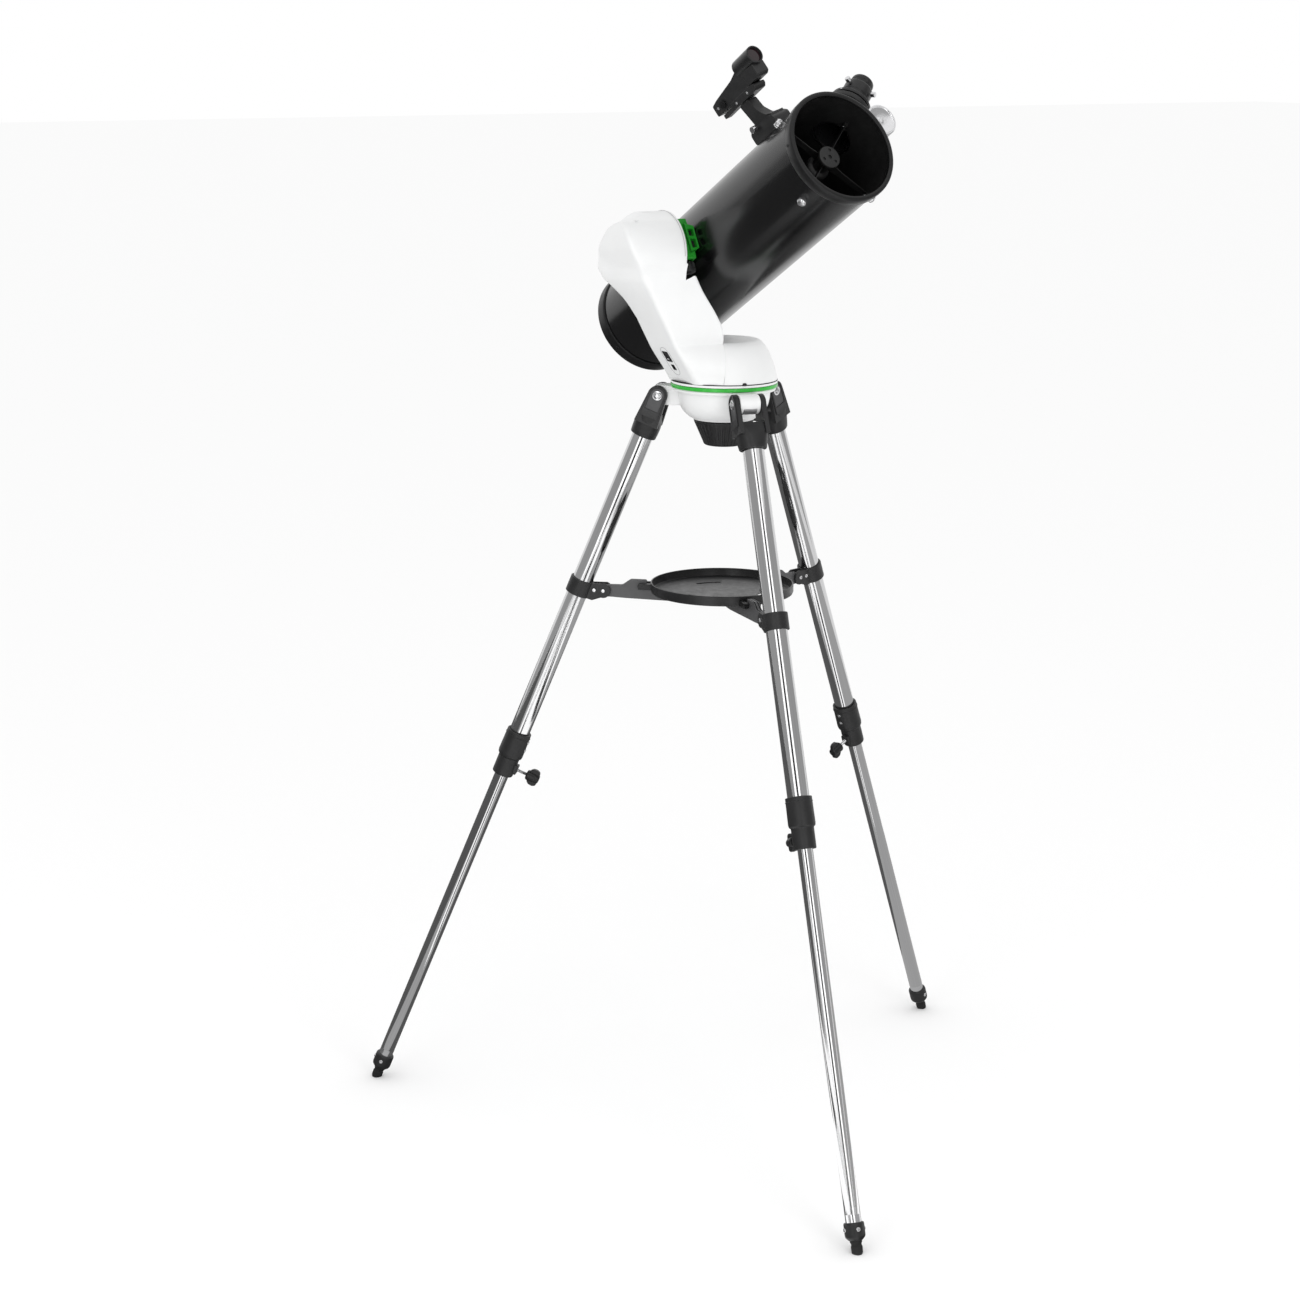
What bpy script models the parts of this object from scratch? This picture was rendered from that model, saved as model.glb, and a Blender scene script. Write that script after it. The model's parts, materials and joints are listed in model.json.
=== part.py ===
"""Newtonian reflector on a motorised single-arm mount and a folding steel tripod.

Metres, +Z up. The tube points towards -Y and rises ALTITUDE degrees; the mount's arm
is on the tube's -X side. The origin is the centre of the footprint, on the ground.
"""
import math

import bmesh
import bpy
from mathutils import Matrix, Vector

# ---- driving dimensions -------------------------------------------------------------
GAP = 0.0003                                # clearance between pieces that touch

# tripod
LEG_AZIMUTHS = (-102.7, 137.3, 17.3)        # degrees about the azimuth axis
HINGE_RADIUS = 0.0967
HINGE_Z = 1.1261
FOOT_RADIUS = 0.560
LEG_SLOPE = math.atan2(FOOT_RADIUS - HINGE_RADIUS, HINGE_Z)
LEG_LENGTH = math.hypot(FOOT_RADIUS - HINGE_RADIUS, HINGE_Z)
UPPER_R = 0.015875                          # 1 1/4 inch tube
UPPER_WALL = 0.0012
UPPER_TOP = 0.0368
UPPER_END = 0.6040
LOWER_R = 0.0111                            # 7/8 inch tube
LOWER_WALL = 0.0011
LOWER_TOP = 0.5350
LOWER_END = 1.1640
YOKE_HALF = 0.0245
YOKE_EAR_R = 0.0148
YOKE_END = 0.0680
LUG_HALF = 0.0160
BOLT_R = 0.0030
CLAMP_TOP = 0.5768
CLAMP_STEP = 0.6187
CLAMP_END = 0.6517
WING_SCREW_AT = 0.6370
COLLAR_AT = 0.3228
COLLAR_HALF = 0.0125
CHEEK_HALF = 0.0055                         # half the slot between a bracket's cheeks
BRACE_Z = 0.8230
BRACE_OUTER_R = 0.1820                      # radius of the pivot on the leg's bracket
BRACE_INNER_R = 0.0260                      # radius of the pivot on the hub
STRUT_HALF = 0.0045
TRAY_R = 0.1080
TRAY_FLOOR_Z = 0.8275
TRAY_RIM_Z = 0.8430

# head and mount
HEAD_TOP_Z = 1.1408
RING_R = 0.0796
PLATE_Z = (1.1470, 1.1505)
COVER_Z = 1.1512
COVER_TOP_Z = 1.2110
SHELL_WALL = 0.0030
POST_R = 0.0100
ALTITUDE = 29.47                            # degrees, the tube's rise
PIVOT_Z = 1.3412                            # height of the altitude axis
HEAD_R = 0.0610                             # radius of the arm's head
HEAD_FACE_X = -0.1030                       # inner face of the arm's head
SHAFT_R = 0.0100
GEAR_X = -0.1240
GEAR_HALF = 0.0030
ALTITUDE_GEAR_R = 0.0350
AZIMUTH_GEAR_R = 0.0340
AZIMUTH_GEAR_Z = 1.1590
PINION_R = 0.0060

# optical tube, along its own axis from the altitude axis
TUBE_R = 0.0795
TUBE_WALL = 0.0012
FRONT_END = 0.3310
REAR_END = -0.2590
MIRROR_R = 0.0650
FOCUS_T = 0.2450
FOCUS_ANGLE = 45.6
DRAWTUBE_R = 0.0280
FOCUSER_R = 0.0325
FOCUSER_TOP = 0.1380
ROLLER_R = 0.0095
ROLLER_RHO = 0.1105
FINDER_T = 0.2300
FINDER_ANGLE = 110.0
FINDER_HALF = 0.0110


# ---- materials ----------------------------------------------------------------------
FINISHES = {
    "white_plastic": ((0.86, 0.87, 0.87), 0.35, 0.0),
    "green_plastic": ((0.06, 0.55, 0.10), 0.35, 0.0),
    "black_plastic": ((0.030, 0.030, 0.032), 0.50, 0.0),
    "black_rubber": ((0.015, 0.015, 0.015), 0.80, 0.0),
    "gloss_black": ((0.010, 0.010, 0.011), 0.15, 0.0),
    "tray_black": ((0.020, 0.020, 0.022), 0.40, 0.0),
    "steel": ((0.62, 0.62, 0.63), 0.22, 1.0),
    "mirror": ((0.90, 0.90, 0.92), 0.05, 1.0),
    "lens": ((0.25, 0.12, 0.15), 0.05, 0.0),
    "brass": ((0.60, 0.45, 0.20), 0.35, 1.0),
}


def make_material(node, finish):
    """One Principled material for one sub-part."""
    colour, roughness, metallic = FINISHES[finish]
    material = bpy.data.materials.new(node)
    material.use_nodes = True
    shader = material.node_tree.nodes["Principled BSDF"]
    shader.inputs["Base Color"].default_value = (*colour, 1.0)
    shader.inputs["Roughness"].default_value = roughness
    shader.inputs["Metallic"].default_value = metallic
    return material


# ---- scene --------------------------------------------------------------------------
for old in list(bpy.data.objects):
    bpy.data.objects.remove(old, do_unlink=True)

PARTS = bpy.data.collections.new("newtonian_telescope")
CUTTERS = bpy.data.collections.new("cutters")
for collection in (PARTS, CUTTERS):
    bpy.context.scene.collection.children.link(collection)


def place(obj, parent, location, rotation):
    """Parent an object and set where it stands in its parent's frame."""
    obj.parent = parent
    obj.location = location
    obj.rotation_euler = rotation


def add_empty(name, parent=None, location=(0, 0, 0), rotation=(0, 0, 0)):
    """A frame that parts hang from."""
    empty = bpy.data.objects.new(name, None)
    PARTS.objects.link(empty)
    place(empty, parent, location, rotation)
    return empty


def add_part(name, mesh, finish, parent=None, location=(0, 0, 0), rotation=(0, 0, 0)):
    """A named sub-part with its own material, shaded smooth up to 35 degrees."""
    obj = bpy.data.objects.new(name, mesh)
    PARTS.objects.link(obj)
    mesh.materials.clear()
    mesh.materials.append(make_material(name, finish))
    if mesh.polygons:
        mesh.shade_smooth()
        mesh.set_sharp_from_angle(angle=math.radians(35))
    place(obj, parent, location, rotation)
    return obj


def boolean(obj, mesh, operation, location=(0, 0, 0), rotation=(0, 0, 0), parent=None):
    """Cut or join a mesh, placed in the frame that the object hangs from."""
    tool = bpy.data.objects.new(obj.name + "_tool", mesh)
    CUTTERS.objects.link(tool)
    tool.hide_render = True
    tool.display_type = "WIRE"
    place(tool, parent or obj.parent, location, rotation)
    modifier = obj.modifiers.new(operation.title(), "BOOLEAN")
    modifier.operation = operation
    modifier.object = tool
    return tool


def cut(obj, mesh, location=(0, 0, 0), rotation=(0, 0, 0), parent=None):
    """Take a mesh away from an object."""
    return boolean(obj, mesh, "DIFFERENCE", location, rotation, parent)


def join(obj, mesh, location=(0, 0, 0), rotation=(0, 0, 0), parent=None):
    """Join a mesh to an object as one solid."""
    return boolean(obj, mesh, "UNION", location, rotation, parent)


# ---- meshes -------------------------------------------------------------------------
ALONG_X = (0, math.pi / 2, 0)
ALONG_Y = (math.pi / 2, 0, 0)


def box_mesh(low, high):
    """A box between two corners."""
    bm = bmesh.new()
    bmesh.ops.create_cube(bm, size=1.0)
    size = [b - a for a, b in zip(low, high)]
    middle = [(a + b) / 2 for a, b in zip(low, high)]
    bmesh.ops.scale(bm, vec=size, verts=bm.verts)
    bmesh.ops.translate(bm, vec=middle, verts=bm.verts)
    return finish_mesh(bm, "box")


def cylinder_mesh(radius, low, high, sides=24, top_radius=None):
    """A cylinder or cone about Z, from low to high."""
    bm = bmesh.new()
    top = radius if top_radius is None else top_radius
    bmesh.ops.create_cone(bm, cap_ends=True, segments=sides, radius1=radius,
                          radius2=top, depth=high - low)
    bmesh.ops.translate(bm, vec=(0, 0, (low + high) / 2), verts=bm.verts)
    return finish_mesh(bm, "cylinder")


def finish_mesh(bm, name):
    """Turn a bmesh into a mesh."""
    mesh = bpy.data.meshes.new(name)
    bm.to_mesh(mesh)
    bm.free()
    return mesh


def baked(obj):
    """The evaluated mesh of a working object, which is then removed."""
    bpy.context.view_layer.update()
    graph = bpy.context.evaluated_depsgraph_get()
    mesh = bpy.data.meshes.new_from_object(obj.evaluated_get(graph))
    bm = bmesh.new()
    bm.from_mesh(mesh)
    bmesh.ops.remove_doubles(bm, verts=bm.verts, dist=1e-6)
    bmesh.ops.recalc_face_normals(bm, faces=bm.faces)
    bm.to_mesh(mesh)
    bm.free()
    bpy.data.objects.remove(obj, do_unlink=True)
    return mesh


def turned_mesh(profile, sides=32, closed=False):
    """A turned shape: (radius, z) points down the outer side, spun about Z.

    A closed profile is the section of a ring; an open one starts and ends on the axis.
    """
    mesh = bpy.data.meshes.new("profile")
    count = len(profile)
    edges = [(i, i + 1) for i in range(count - 1)]
    if closed:
        edges.append((count - 1, 0))
    mesh.from_pydata([(r, 0, z) for r, z in profile], edges, [])
    obj = bpy.data.objects.new("profile", mesh)
    bpy.context.scene.collection.objects.link(obj)
    screw = obj.modifiers.new("Screw", "SCREW")
    screw.steps = sides
    screw.render_steps = sides
    screw.use_merge_vertices = True
    screw.merge_threshold = 0.0001
    return baked(obj)


def slab_mesh(points, half):
    """A flat outline of (x, y) points, extruded half its thickness both ways along Z."""
    curve = bpy.data.curves.new("outline", "CURVE")
    curve.dimensions = "2D"
    curve.fill_mode = "BOTH"
    curve.extrude = half
    spline = curve.splines.new("POLY")
    spline.points.add(len(points) - 1)
    for point, (x, y) in zip(spline.points, points):
        point.co = (x, y, 0, 1)
    spline.use_cyclic_u = True
    obj = bpy.data.objects.new("outline", curve)
    bpy.context.scene.collection.objects.link(obj)
    return baked(obj)


def arc(cx, cy, radius, start, end, count=8):
    """Points along an arc, angles in degrees."""
    steps = [math.radians(start + (end - start) * i / count) for i in range(count + 1)]
    return [(cx + radius * math.cos(a), cy + radius * math.sin(a)) for a in steps]


def ring_profile(inner, outer, low, high):
    """The closed section of a plain ring."""
    return [(outer, high), (outer, low), (inner, low), (inner, high)]


def polar(radius, degrees, z=0.0):
    """A point at a radius and an angle about Z."""
    angle = math.radians(degrees)
    return Vector((radius * math.cos(angle), radius * math.sin(angle), z))


# ---- frames -------------------------------------------------------------------------
FEET = [polar(FOOT_RADIUS, a) for a in LEG_AZIMUTHS]
AXIS_X = -(min(p.x for p in FEET) + max(p.x for p in FEET)) / 2
AXIS_Y = -(min(p.y for p in FEET) + max(p.y for p in FEET)) / 2

tripod_axis = add_empty("tripod_axis", location=(AXIS_X, AXIS_Y, 0))
turntable_axis = add_empty("turntable_axis", tripod_axis)
# The tube's frame: X across, Y out of the tube's back, Z along the tube to the sky.
altitude_axis = add_empty("altitude_axis", turntable_axis, (0, 0, PIVOT_Z),
                          (math.radians(90 - ALTITUDE), 0, 0))


def tube_side_frame(name, t, degrees):
    """A frame on the tube's wall: X along the tube, Z straight out from its axis."""
    out = polar(1.0, degrees)
    along = Vector((0, 0, 1))
    across = out.cross(along)
    matrix = Matrix((along, across, out)).transposed()
    return add_empty(name, altitude_axis, (0, 0, t), matrix.to_euler())


focuser_axis = tube_side_frame("focuser_axis", FOCUS_T, FOCUS_ANGLE)
finder_axis = tube_side_frame("finder_axis", FINDER_T, FINDER_ANGLE)


# ---- tripod head --------------------------------------------------------------------
BOWL = [(0, HEAD_TOP_Z), (0.0765, HEAD_TOP_Z), (0.0772, 1.1385), (0.0745, 1.1335),
        (0.0685, 1.1315), (0.0670, 1.1230), (0.0640, 1.1150), (0.0560, 1.0990),
        (0.0455, 1.0920), (0, 1.0920)]
LUG_R = 0.0145
KNOB_TOP_Z = 1.0905
KNOB_END_Z = 1.0530


def build_tripod_head():
    """White bowl with three hinge lugs, the fixed post of the azimuth bearing, the
    green ring under the turntable and the ribbed knob that clamps the mount on."""
    head = add_part("tripod_head", turned_mesh(BOWL, 36), "white_plastic", tripod_axis)
    join(head, cylinder_mesh(POST_R, HEAD_TOP_Z - 0.01, 1.1700))
    lug = [(-0.0450, -LUG_R)] + arc(0, 0, LUG_R, -90, 90, 8) + [(-0.0450, LUG_R)]
    for degrees in LEG_AZIMUTHS:
        across = (math.pi / 2, 0, math.radians(degrees))
        hinge = polar(HINGE_RADIUS, degrees, HINGE_Z)
        join(head, slab_mesh(lug, LUG_HALF), hinge, across)
        cut(head, cylinder_mesh(BOLT_R + GAP, -0.03, 0.03, 10), hinge, across)
    cut(head, cylinder_mesh(0.0065 + GAP, 1.08, 1.1170, 16))

    ring = ring_profile(0.0650, RING_R, HEAD_TOP_Z + 0.0004, PLATE_Z[0] - 0.0004)
    add_part("accent_ring", turned_mesh(ring, 48, closed=True), "green_plastic",
             tripod_axis)

    knob = [(0, 1.1150), (0.0065, 1.1150), (0.0065, KNOB_TOP_Z), (0.0445, KNOB_TOP_Z),
            (0.0400, 1.0780), (0.0310, KNOB_END_Z + 0.003), (0.0285, KNOB_END_Z),
            (0, KNOB_END_Z)]
    add_part("clamp_knob", turned_mesh(knob, 24), "black_plastic", tripod_axis)


# ---- legs ---------------------------------------------------------------------------
def build_yoke(name, frame):
    """Fork that hinges on the head's lug and holds the upper tube in its socket."""
    side = [(YOKE_EAR_R, 0.042), (-YOKE_EAR_R, 0.042)]
    side += arc(0, 0, YOKE_EAR_R, 180, 360, 10)
    yoke = add_part(name, slab_mesh(side, YOKE_HALF), "black_plastic", frame,
                    rotation=ALONG_Y)
    join(yoke, cylinder_mesh(0.0215, 0.034, YOKE_END, 18, top_radius=0.0196))
    slot = LUG_HALF + 0.0006
    cut(yoke, box_mesh((-0.03, -slot, -0.03), (0.03, slot, 0.0335)))
    cut(yoke, cylinder_mesh(UPPER_R + GAP, UPPER_TOP - GAP, 0.08, 18))
    cut(yoke, cylinder_mesh(BOLT_R + GAP, -0.04, 0.04, 10), rotation=ALONG_Y)


def build_pivot_bolt(name, frame):
    """Bolt through the fork and the lug, with a head and a nut outside the ears."""
    seat = YOKE_HALF + GAP
    profile = [(0, seat + 0.003), (0.0062, seat + 0.003), (0.0062, seat), (BOLT_R, seat),
               (BOLT_R, -seat), (0.0062, -seat), (0.0062, -seat - 0.003),
               (0, -seat - 0.003)]
    add_part(name, turned_mesh(profile, 10), "steel", frame, rotation=ALONG_Y)


def build_upper_tube(name, frame):
    """Upper steel tube."""
    wall = ring_profile(UPPER_R - UPPER_WALL, UPPER_R, UPPER_TOP, UPPER_END)
    add_part(name, turned_mesh(wall, 18, closed=True), "steel", frame)


BRACE_PIVOT_X = 0.0364                      # the bracket pivot in the leg's frame
BRACE_PIVOT_AT = 0.3128


def build_collar(name, frame):
    """Band round the upper tube with two cheeks that hold the brace's end."""
    low = COLLAR_AT - COLLAR_HALF
    high = COLLAR_AT + COLLAR_HALF
    band = ring_profile(UPPER_R + GAP, 0.0192, low, high)
    collar = add_part(name, turned_mesh(band, 18, closed=True), "black_plastic", frame)
    eye = arc(BRACE_PIVOT_X, BRACE_PIVOT_AT, 0.0115, -80, 80)
    outline = [(0.0176, low + 0.001)] + eye + [(0.0176, high - 0.001)]
    for side in (-1, 1):
        offset = side * (CHEEK_HALF + 0.0018)
        join(collar, slab_mesh(outline, 0.0018), (0, offset, 0), ALONG_Y)


def build_clamp(name, frame):
    """Stepped sleeve on the upper tube's end that guides and grips the lower tube."""
    profile = [(0.0195, CLAMP_TOP), (0.0195, CLAMP_STEP), (0.0165, CLAMP_STEP + 0.003),
               (0.0165, CLAMP_END), (LOWER_R + GAP, CLAMP_END),
               (LOWER_R + GAP, UPPER_END + GAP), (UPPER_R + GAP, UPPER_END + GAP),
               (UPPER_R + GAP, CLAMP_TOP)]
    clamp = add_part(name, turned_mesh(profile[::-1], 18, closed=True), "black_plastic",
                     frame)
    join(clamp, box_mesh((0.0130, -0.0065, WING_SCREW_AT - 0.0075),
                         (0.0205, 0.0065, WING_SCREW_AT + 0.0075)))
    cut(clamp, cylinder_mesh(0.0024 + GAP, 0.008, 0.03, 12), (0, 0, WING_SCREW_AT),
        ALONG_X)


def build_lower_tube(name, frame):
    """Lower steel tube with a guide bush on its top end."""
    inner = LOWER_R - LOWER_WALL
    bush = UPPER_R - UPPER_WALL - GAP
    profile = [(bush, LOWER_TOP), (bush, LOWER_TOP + 0.025), (LOWER_R, LOWER_TOP + 0.025),
               (LOWER_R, LOWER_END), (inner, LOWER_END), (inner, LOWER_TOP)]
    add_part(name, turned_mesh(profile[::-1], 18, closed=True), "steel", frame)


def build_foot(name, frame):
    """Plastic cap plugged on the lower tube, with a rubber tip cut level."""
    cap_top = LOWER_END - 0.0120
    profile = [(LOWER_R + GAP, cap_top), (0.0138, cap_top), (0.0145, cap_top + 0.003),
               (0.0140, cap_top + 0.020), (0.0112, LOWER_END + 0.022),
               (0.0085, LOWER_END + 0.025), (0.0078, LEG_LENGTH - 0.006),
               (0.0062, LEG_LENGTH + 0.0045), (0, LEG_LENGTH + 0.0055),
               (0, LOWER_END + GAP), (LOWER_R + GAP, LOWER_END + GAP)]
    points = profile[-2::-1] + profile[-1:]
    foot = add_part(name, turned_mesh(points, 18, closed=True), "black_rubber", frame)
    cut(foot, box_mesh((-0.8, -0.8, -0.05), (0.8, 0.8, 0.0)), parent=tripod_axis)


# A wing's outline: its X runs down the leg and its Y out of the clamp, along the screw.
WING_TURN = Matrix(((0, 1, 0), (0, 0, 1), (1, 0, 0))).to_euler()


def build_wing_screw(name, frame):
    """Steel screw with a black two-winged grip."""
    profile = [(0, 0.0570), (0.0070, 0.0560), (0.0080, 0.0360), (0.0024, 0.0360),
               (0.0024, 0.0119), (0, 0.0119)]
    screw = add_part(name, turned_mesh(profile, 10), "black_plastic", frame,
                     (0, 0, WING_SCREW_AT), ALONG_X)
    for side in (-1, 1):
        wing = [(0.004 * side, 0.040), (0.0125 * side, 0.043), (0.0135 * side, 0.0505),
                (0.0095 * side, 0.0545), (0.004 * side, 0.0540)]
        join(screw, slab_mesh(wing[::side], 0.0035), (0, 0, WING_SCREW_AT), WING_TURN)


def build_leg(number, degrees):
    """One leg, modelled in a frame at its hinge: Z down the leg, X towards the axis."""
    frame = add_empty(f"leg_axis_{number}", tripod_axis,
                      polar(HINGE_RADIUS, degrees, HINGE_Z),
                      (0, math.pi - LEG_SLOPE, math.radians(degrees)))
    build_yoke(f"leg_yoke_{number}", frame)
    build_pivot_bolt(f"pivot_bolt_{number}", frame)
    build_upper_tube(f"upper_leg_{number}", frame)
    build_collar(f"brace_collar_{number}", frame)
    build_clamp(f"leg_clamp_{number}", frame)
    build_lower_tube(f"lower_leg_{number}", frame)
    build_foot(f"foot_{number}", frame)
    build_wing_screw(f"wing_screw_{number}", frame)


# ---- spreader and tray --------------------------------------------------------------
def build_brace():
    """Hub with three forks, three struts and the accessory tray on top of them."""
    fork_top = BRACE_Z + 0.0040
    hub = add_part("brace_hub", turned_mesh([(0, fork_top), (0.0160, fork_top),
                                             (0.0160, BRACE_Z - 0.0120),
                                             (0, BRACE_Z - 0.0120)], 18),
                   "black_plastic", tripod_axis)
    low = BRACE_Z - 0.0105
    for number, degrees in enumerate(LEG_AZIMUTHS, start=1):
        turn = math.radians(degrees)
        cheek_low = STRUT_HALF + 0.0005
        for side in (-1, 1):
            near, far = sorted((side * cheek_low, side * (cheek_low + 0.0030)))
            join(hub, box_mesh((0.010, near, low), (BRACE_INNER_R + 0.0065, far, fork_top)),
                 rotation=(0, 0, turn))
        pin = cylinder_mesh(0.0020, -cheek_low - 0.001, cheek_low + 0.001, 8)
        join(hub, pin, polar(BRACE_INNER_R, degrees, BRACE_Z), (math.pi / 2, 0, turn))
        build_strut(f"brace_strut_{number}", degrees)


def build_strut(name, degrees):
    """Flat brace with its eye on the hub's pin and its outer end in a leg's bracket."""
    inner = arc(BRACE_INNER_R, BRACE_Z, 0.0040, 90, 250, 6)
    outline = inner + [(0.0300, 0.8110), (0.0450, 0.8100), (0.1500, 0.8125),
                       (0.1790, 0.8145), (BRACE_OUTER_R + 0.0035, 0.8180),
                       (BRACE_OUTER_R + 0.0035, 0.8280), (0.1780, 0.8312),
                       (0.1520, 0.8320), (0.1400, 0.8415), (0.1165, 0.8415),
                       (0.1130, BRACE_Z + 0.0038)]
    turn = (math.pi / 2, 0, math.radians(degrees))
    strut = add_part(name, slab_mesh(outline, STRUT_HALF), "black_plastic", tripod_axis,
                     rotation=turn)
    cut(strut, cylinder_mesh(0.0020 + GAP, -0.01, 0.01, 8),
        polar(BRACE_INNER_R, degrees, BRACE_Z), turn)


def build_tray():
    """Round dish with three slots in its floor and three pairs of locating tabs."""
    floor = TRAY_FLOOR_Z
    profile = [(0, floor + 0.0022), (TRAY_R - 0.0035, floor + 0.0022),
               (TRAY_R - 0.0020, TRAY_RIM_Z), (TRAY_R, TRAY_RIM_Z), (TRAY_R, floor),
               (0, floor)]
    tray = add_part("accessory_tray", turned_mesh(profile, 40), "tray_black", tripod_axis)
    for degrees in LEG_AZIMUTHS:
        turn = math.radians(degrees)
        for side in (-1, 1):
            near, far = sorted((side * 0.0060, side * 0.0140))
            join(tray, box_mesh((TRAY_R - 0.0010, near, floor), (0.1280, far, 0.8370)),
                 rotation=(0, 0, turn))
        slot = arc(0, 0, 0.064, 44, 76, 4) + arc(0, 0, 0.057, 76, 44, 4)
        cut(tray, slab_mesh(slot, 0.01), (0, 0, floor), (0, 0, turn))


# ---- turntable and arm --------------------------------------------------------------
SEAM_FOOT_X = -0.0440
SEAM_SLOPE = math.atan2(0.0128, 0.0593)     # lean of the seam between arm and cover
OUTER_R = 0.0475                            # the head's outer face is smaller
RECESS_R = 0.0640                           # round recess that the saddle turns in
TOP_Z = PIVOT_Z + HEAD_R


def seam_x(z):
    """Where the leaning seam plane stands at a height."""
    return SEAM_FOOT_X + (z - COVER_Z) * math.tan(SEAM_SLOPE)


OUTER_ROWS = ((COVER_Z, -0.0740), (1.1690, -0.0850), (1.2000, -0.1060), (1.2150, -0.1145),
              (1.3150, -0.1675), (1.3550, -0.1894), (1.3700, -0.1915), (1.3850, -0.1850),
              (1.3950, -0.1720), (TOP_Z, -0.1550))
FRONT_ROWS = ((COVER_Z, seam_x(COVER_Z) - GAP), (1.2105, seam_x(1.2105) - GAP),
              (1.2250, -0.0350), (1.2510, -0.0480), (1.2880, -0.0730), (1.3270, -0.0965),
              (1.3310, HEAD_FACE_X), (TOP_Z, HEAD_FACE_X))
REAR_ROWS = (FRONT_ROWS[0], (1.2000, -0.0350), (1.2250, -0.0560), (1.2510, -0.0750),
             (1.2880, -0.0870)) + FRONT_ROWS[-3:]
INNER_HALF_ROWS = ((COVER_Z, 0.0640), (1.2105, 0.0580), (TOP_Z, 0.0580))
OUTER_HALF_ROWS = ((COVER_Z, 0.0360), (1.2000, 0.0400), (TOP_Z, 0.0400))
SWELL_ROWS = ((1.2450, 0.0), (1.2700, 0.0057), (1.2950, 0.0189), (1.3060, 0.0265),
              (1.3170, 0.0270), (1.3350, 0.0114), (1.3550, 0.0013), (1.3700, -0.0050),
              (1.3950, 0.0))


def bulge(radius, z, half):
    """Half width of the round head at a height, or the arm's own below it."""
    lift = abs(z - PIVOT_Z)
    reach = math.sqrt(max(radius ** 2 - lift ** 2, 0.0))
    return reach if z > PIVOT_Z else max(half, reach)


def interpolate(rows, value):
    """Straight-line reading of (key, result) rows."""
    if value <= rows[0][0]:
        return rows[0][1]
    for (a, first), (b, second) in zip(rows, rows[1:]):
        if value <= b:
            return first + (second - first) * (value - a) / (b - a)
    return rows[-1][1]


ARM_LEVELS = [COVER_Z, 1.1660, 1.1830, 1.1970, 1.2100, 1.2230, 1.2480, 1.2700, 1.2870,
              1.2990, 1.3080, 1.3170, 1.3270, 1.3310, 1.3412, 1.3560, 1.3700, 1.3820,
              1.3920, 1.3980, 1.4015]
CORNER_STEPS = 3


def arm_corners(z, grow):
    """The four corners of the arm's section at a height, its skin moved out by grow."""
    inner_half = max(bulge(HEAD_R, z, interpolate(INNER_HALF_ROWS, z)) + grow, 0.006)
    outer_half = max(bulge(OUTER_R, z, interpolate(OUTER_HALF_ROWS, z)) + grow, 0.005)
    outer = interpolate(OUTER_ROWS, z) - grow
    front = interpolate(FRONT_ROWS, z) + grow
    rear = interpolate(REAR_ROWS, z) + grow
    swell = interpolate(SWELL_ROWS, z)
    return [(front, -inner_half), (rear, inner_half), (outer - swell, outer_half),
            (outer, -outer_half)]


def rounded_corner(before, corner, after, radius):
    """Points that round one corner of an outline, as a quadratic curve."""
    start = corner + (before - corner).normalized() * radius
    end = corner + (after - corner).normalized() * radius
    points = []
    for step in range(CORNER_STEPS + 1):
        f = step / CORNER_STEPS
        points.append(start * (1 - f) ** 2 + corner * 2 * f * (1 - f) + end * f ** 2)
    return points


def arm_ring(z, grow):
    """The arm's section at a height, with round corners, kept over the round turntable
    at the bottom."""
    corners = [Vector(point) for point in arm_corners(z, grow)]
    limit = RING_R - 0.0006 + grow + 1.2 * (z - COVER_Z)
    ring = []
    for i, corner in enumerate(corners):
        before = corners[i - 1]
        after = corners[(i + 1) % 4]
        radius = min(0.010, 0.42 * min((before - corner).length, (after - corner).length))
        for point in rounded_corner(before, corner, after, radius):
            point *= min(1.0, limit / point.length)
            ring.append((point.x, point.y, z))
    return ring


def arm_mesh(grow=0.0, drop=0.0):
    """Loft through the arm's sections, with its skin moved out by grow and its bottom
    end moved down by drop."""
    levels = list(ARM_LEVELS)
    if grow < 0:
        levels = [z for z in levels if z < TOP_Z + grow]
    rings = [arm_ring(z, grow) for z in levels]
    if drop:
        rings[0:0] = [[(x, y, levels[0] - drop) for x, y, _ in rings[0]]]
    count = len(rings[0])
    vertices = [point for ring in rings for point in ring]
    faces = [tuple(reversed(range(count)))]
    for level in range(len(rings) - 1):
        base = level * count
        for i in range(count):
            j = (i + 1) % count
            faces.append((base + i, base + j, base + count + j, base + count + i))
    last = (len(rings) - 1) * count
    faces.append(tuple(range(last, last + count)))
    mesh = bpy.data.meshes.new("arm")
    mesh.from_pydata(vertices, [], faces)
    return mesh


SWITCH_Z = 1.1905
SWITCH_TILT = math.radians(-5)              # the rocker rests in its off position
SOCKET_Z = 1.1740


def outer_face_frame(name, y, z):
    """A frame on the arm's outer face: Z straight out of it, Y across the arm."""
    outer = interpolate(OUTER_ROWS, z)
    below = interpolate(OUTER_ROWS, z - 0.004)
    slope = math.atan2(below - outer, 0.004)
    return add_empty(name, turntable_axis, (outer, y, z),
                     (0, -math.pi / 2 - slope, 0))


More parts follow.
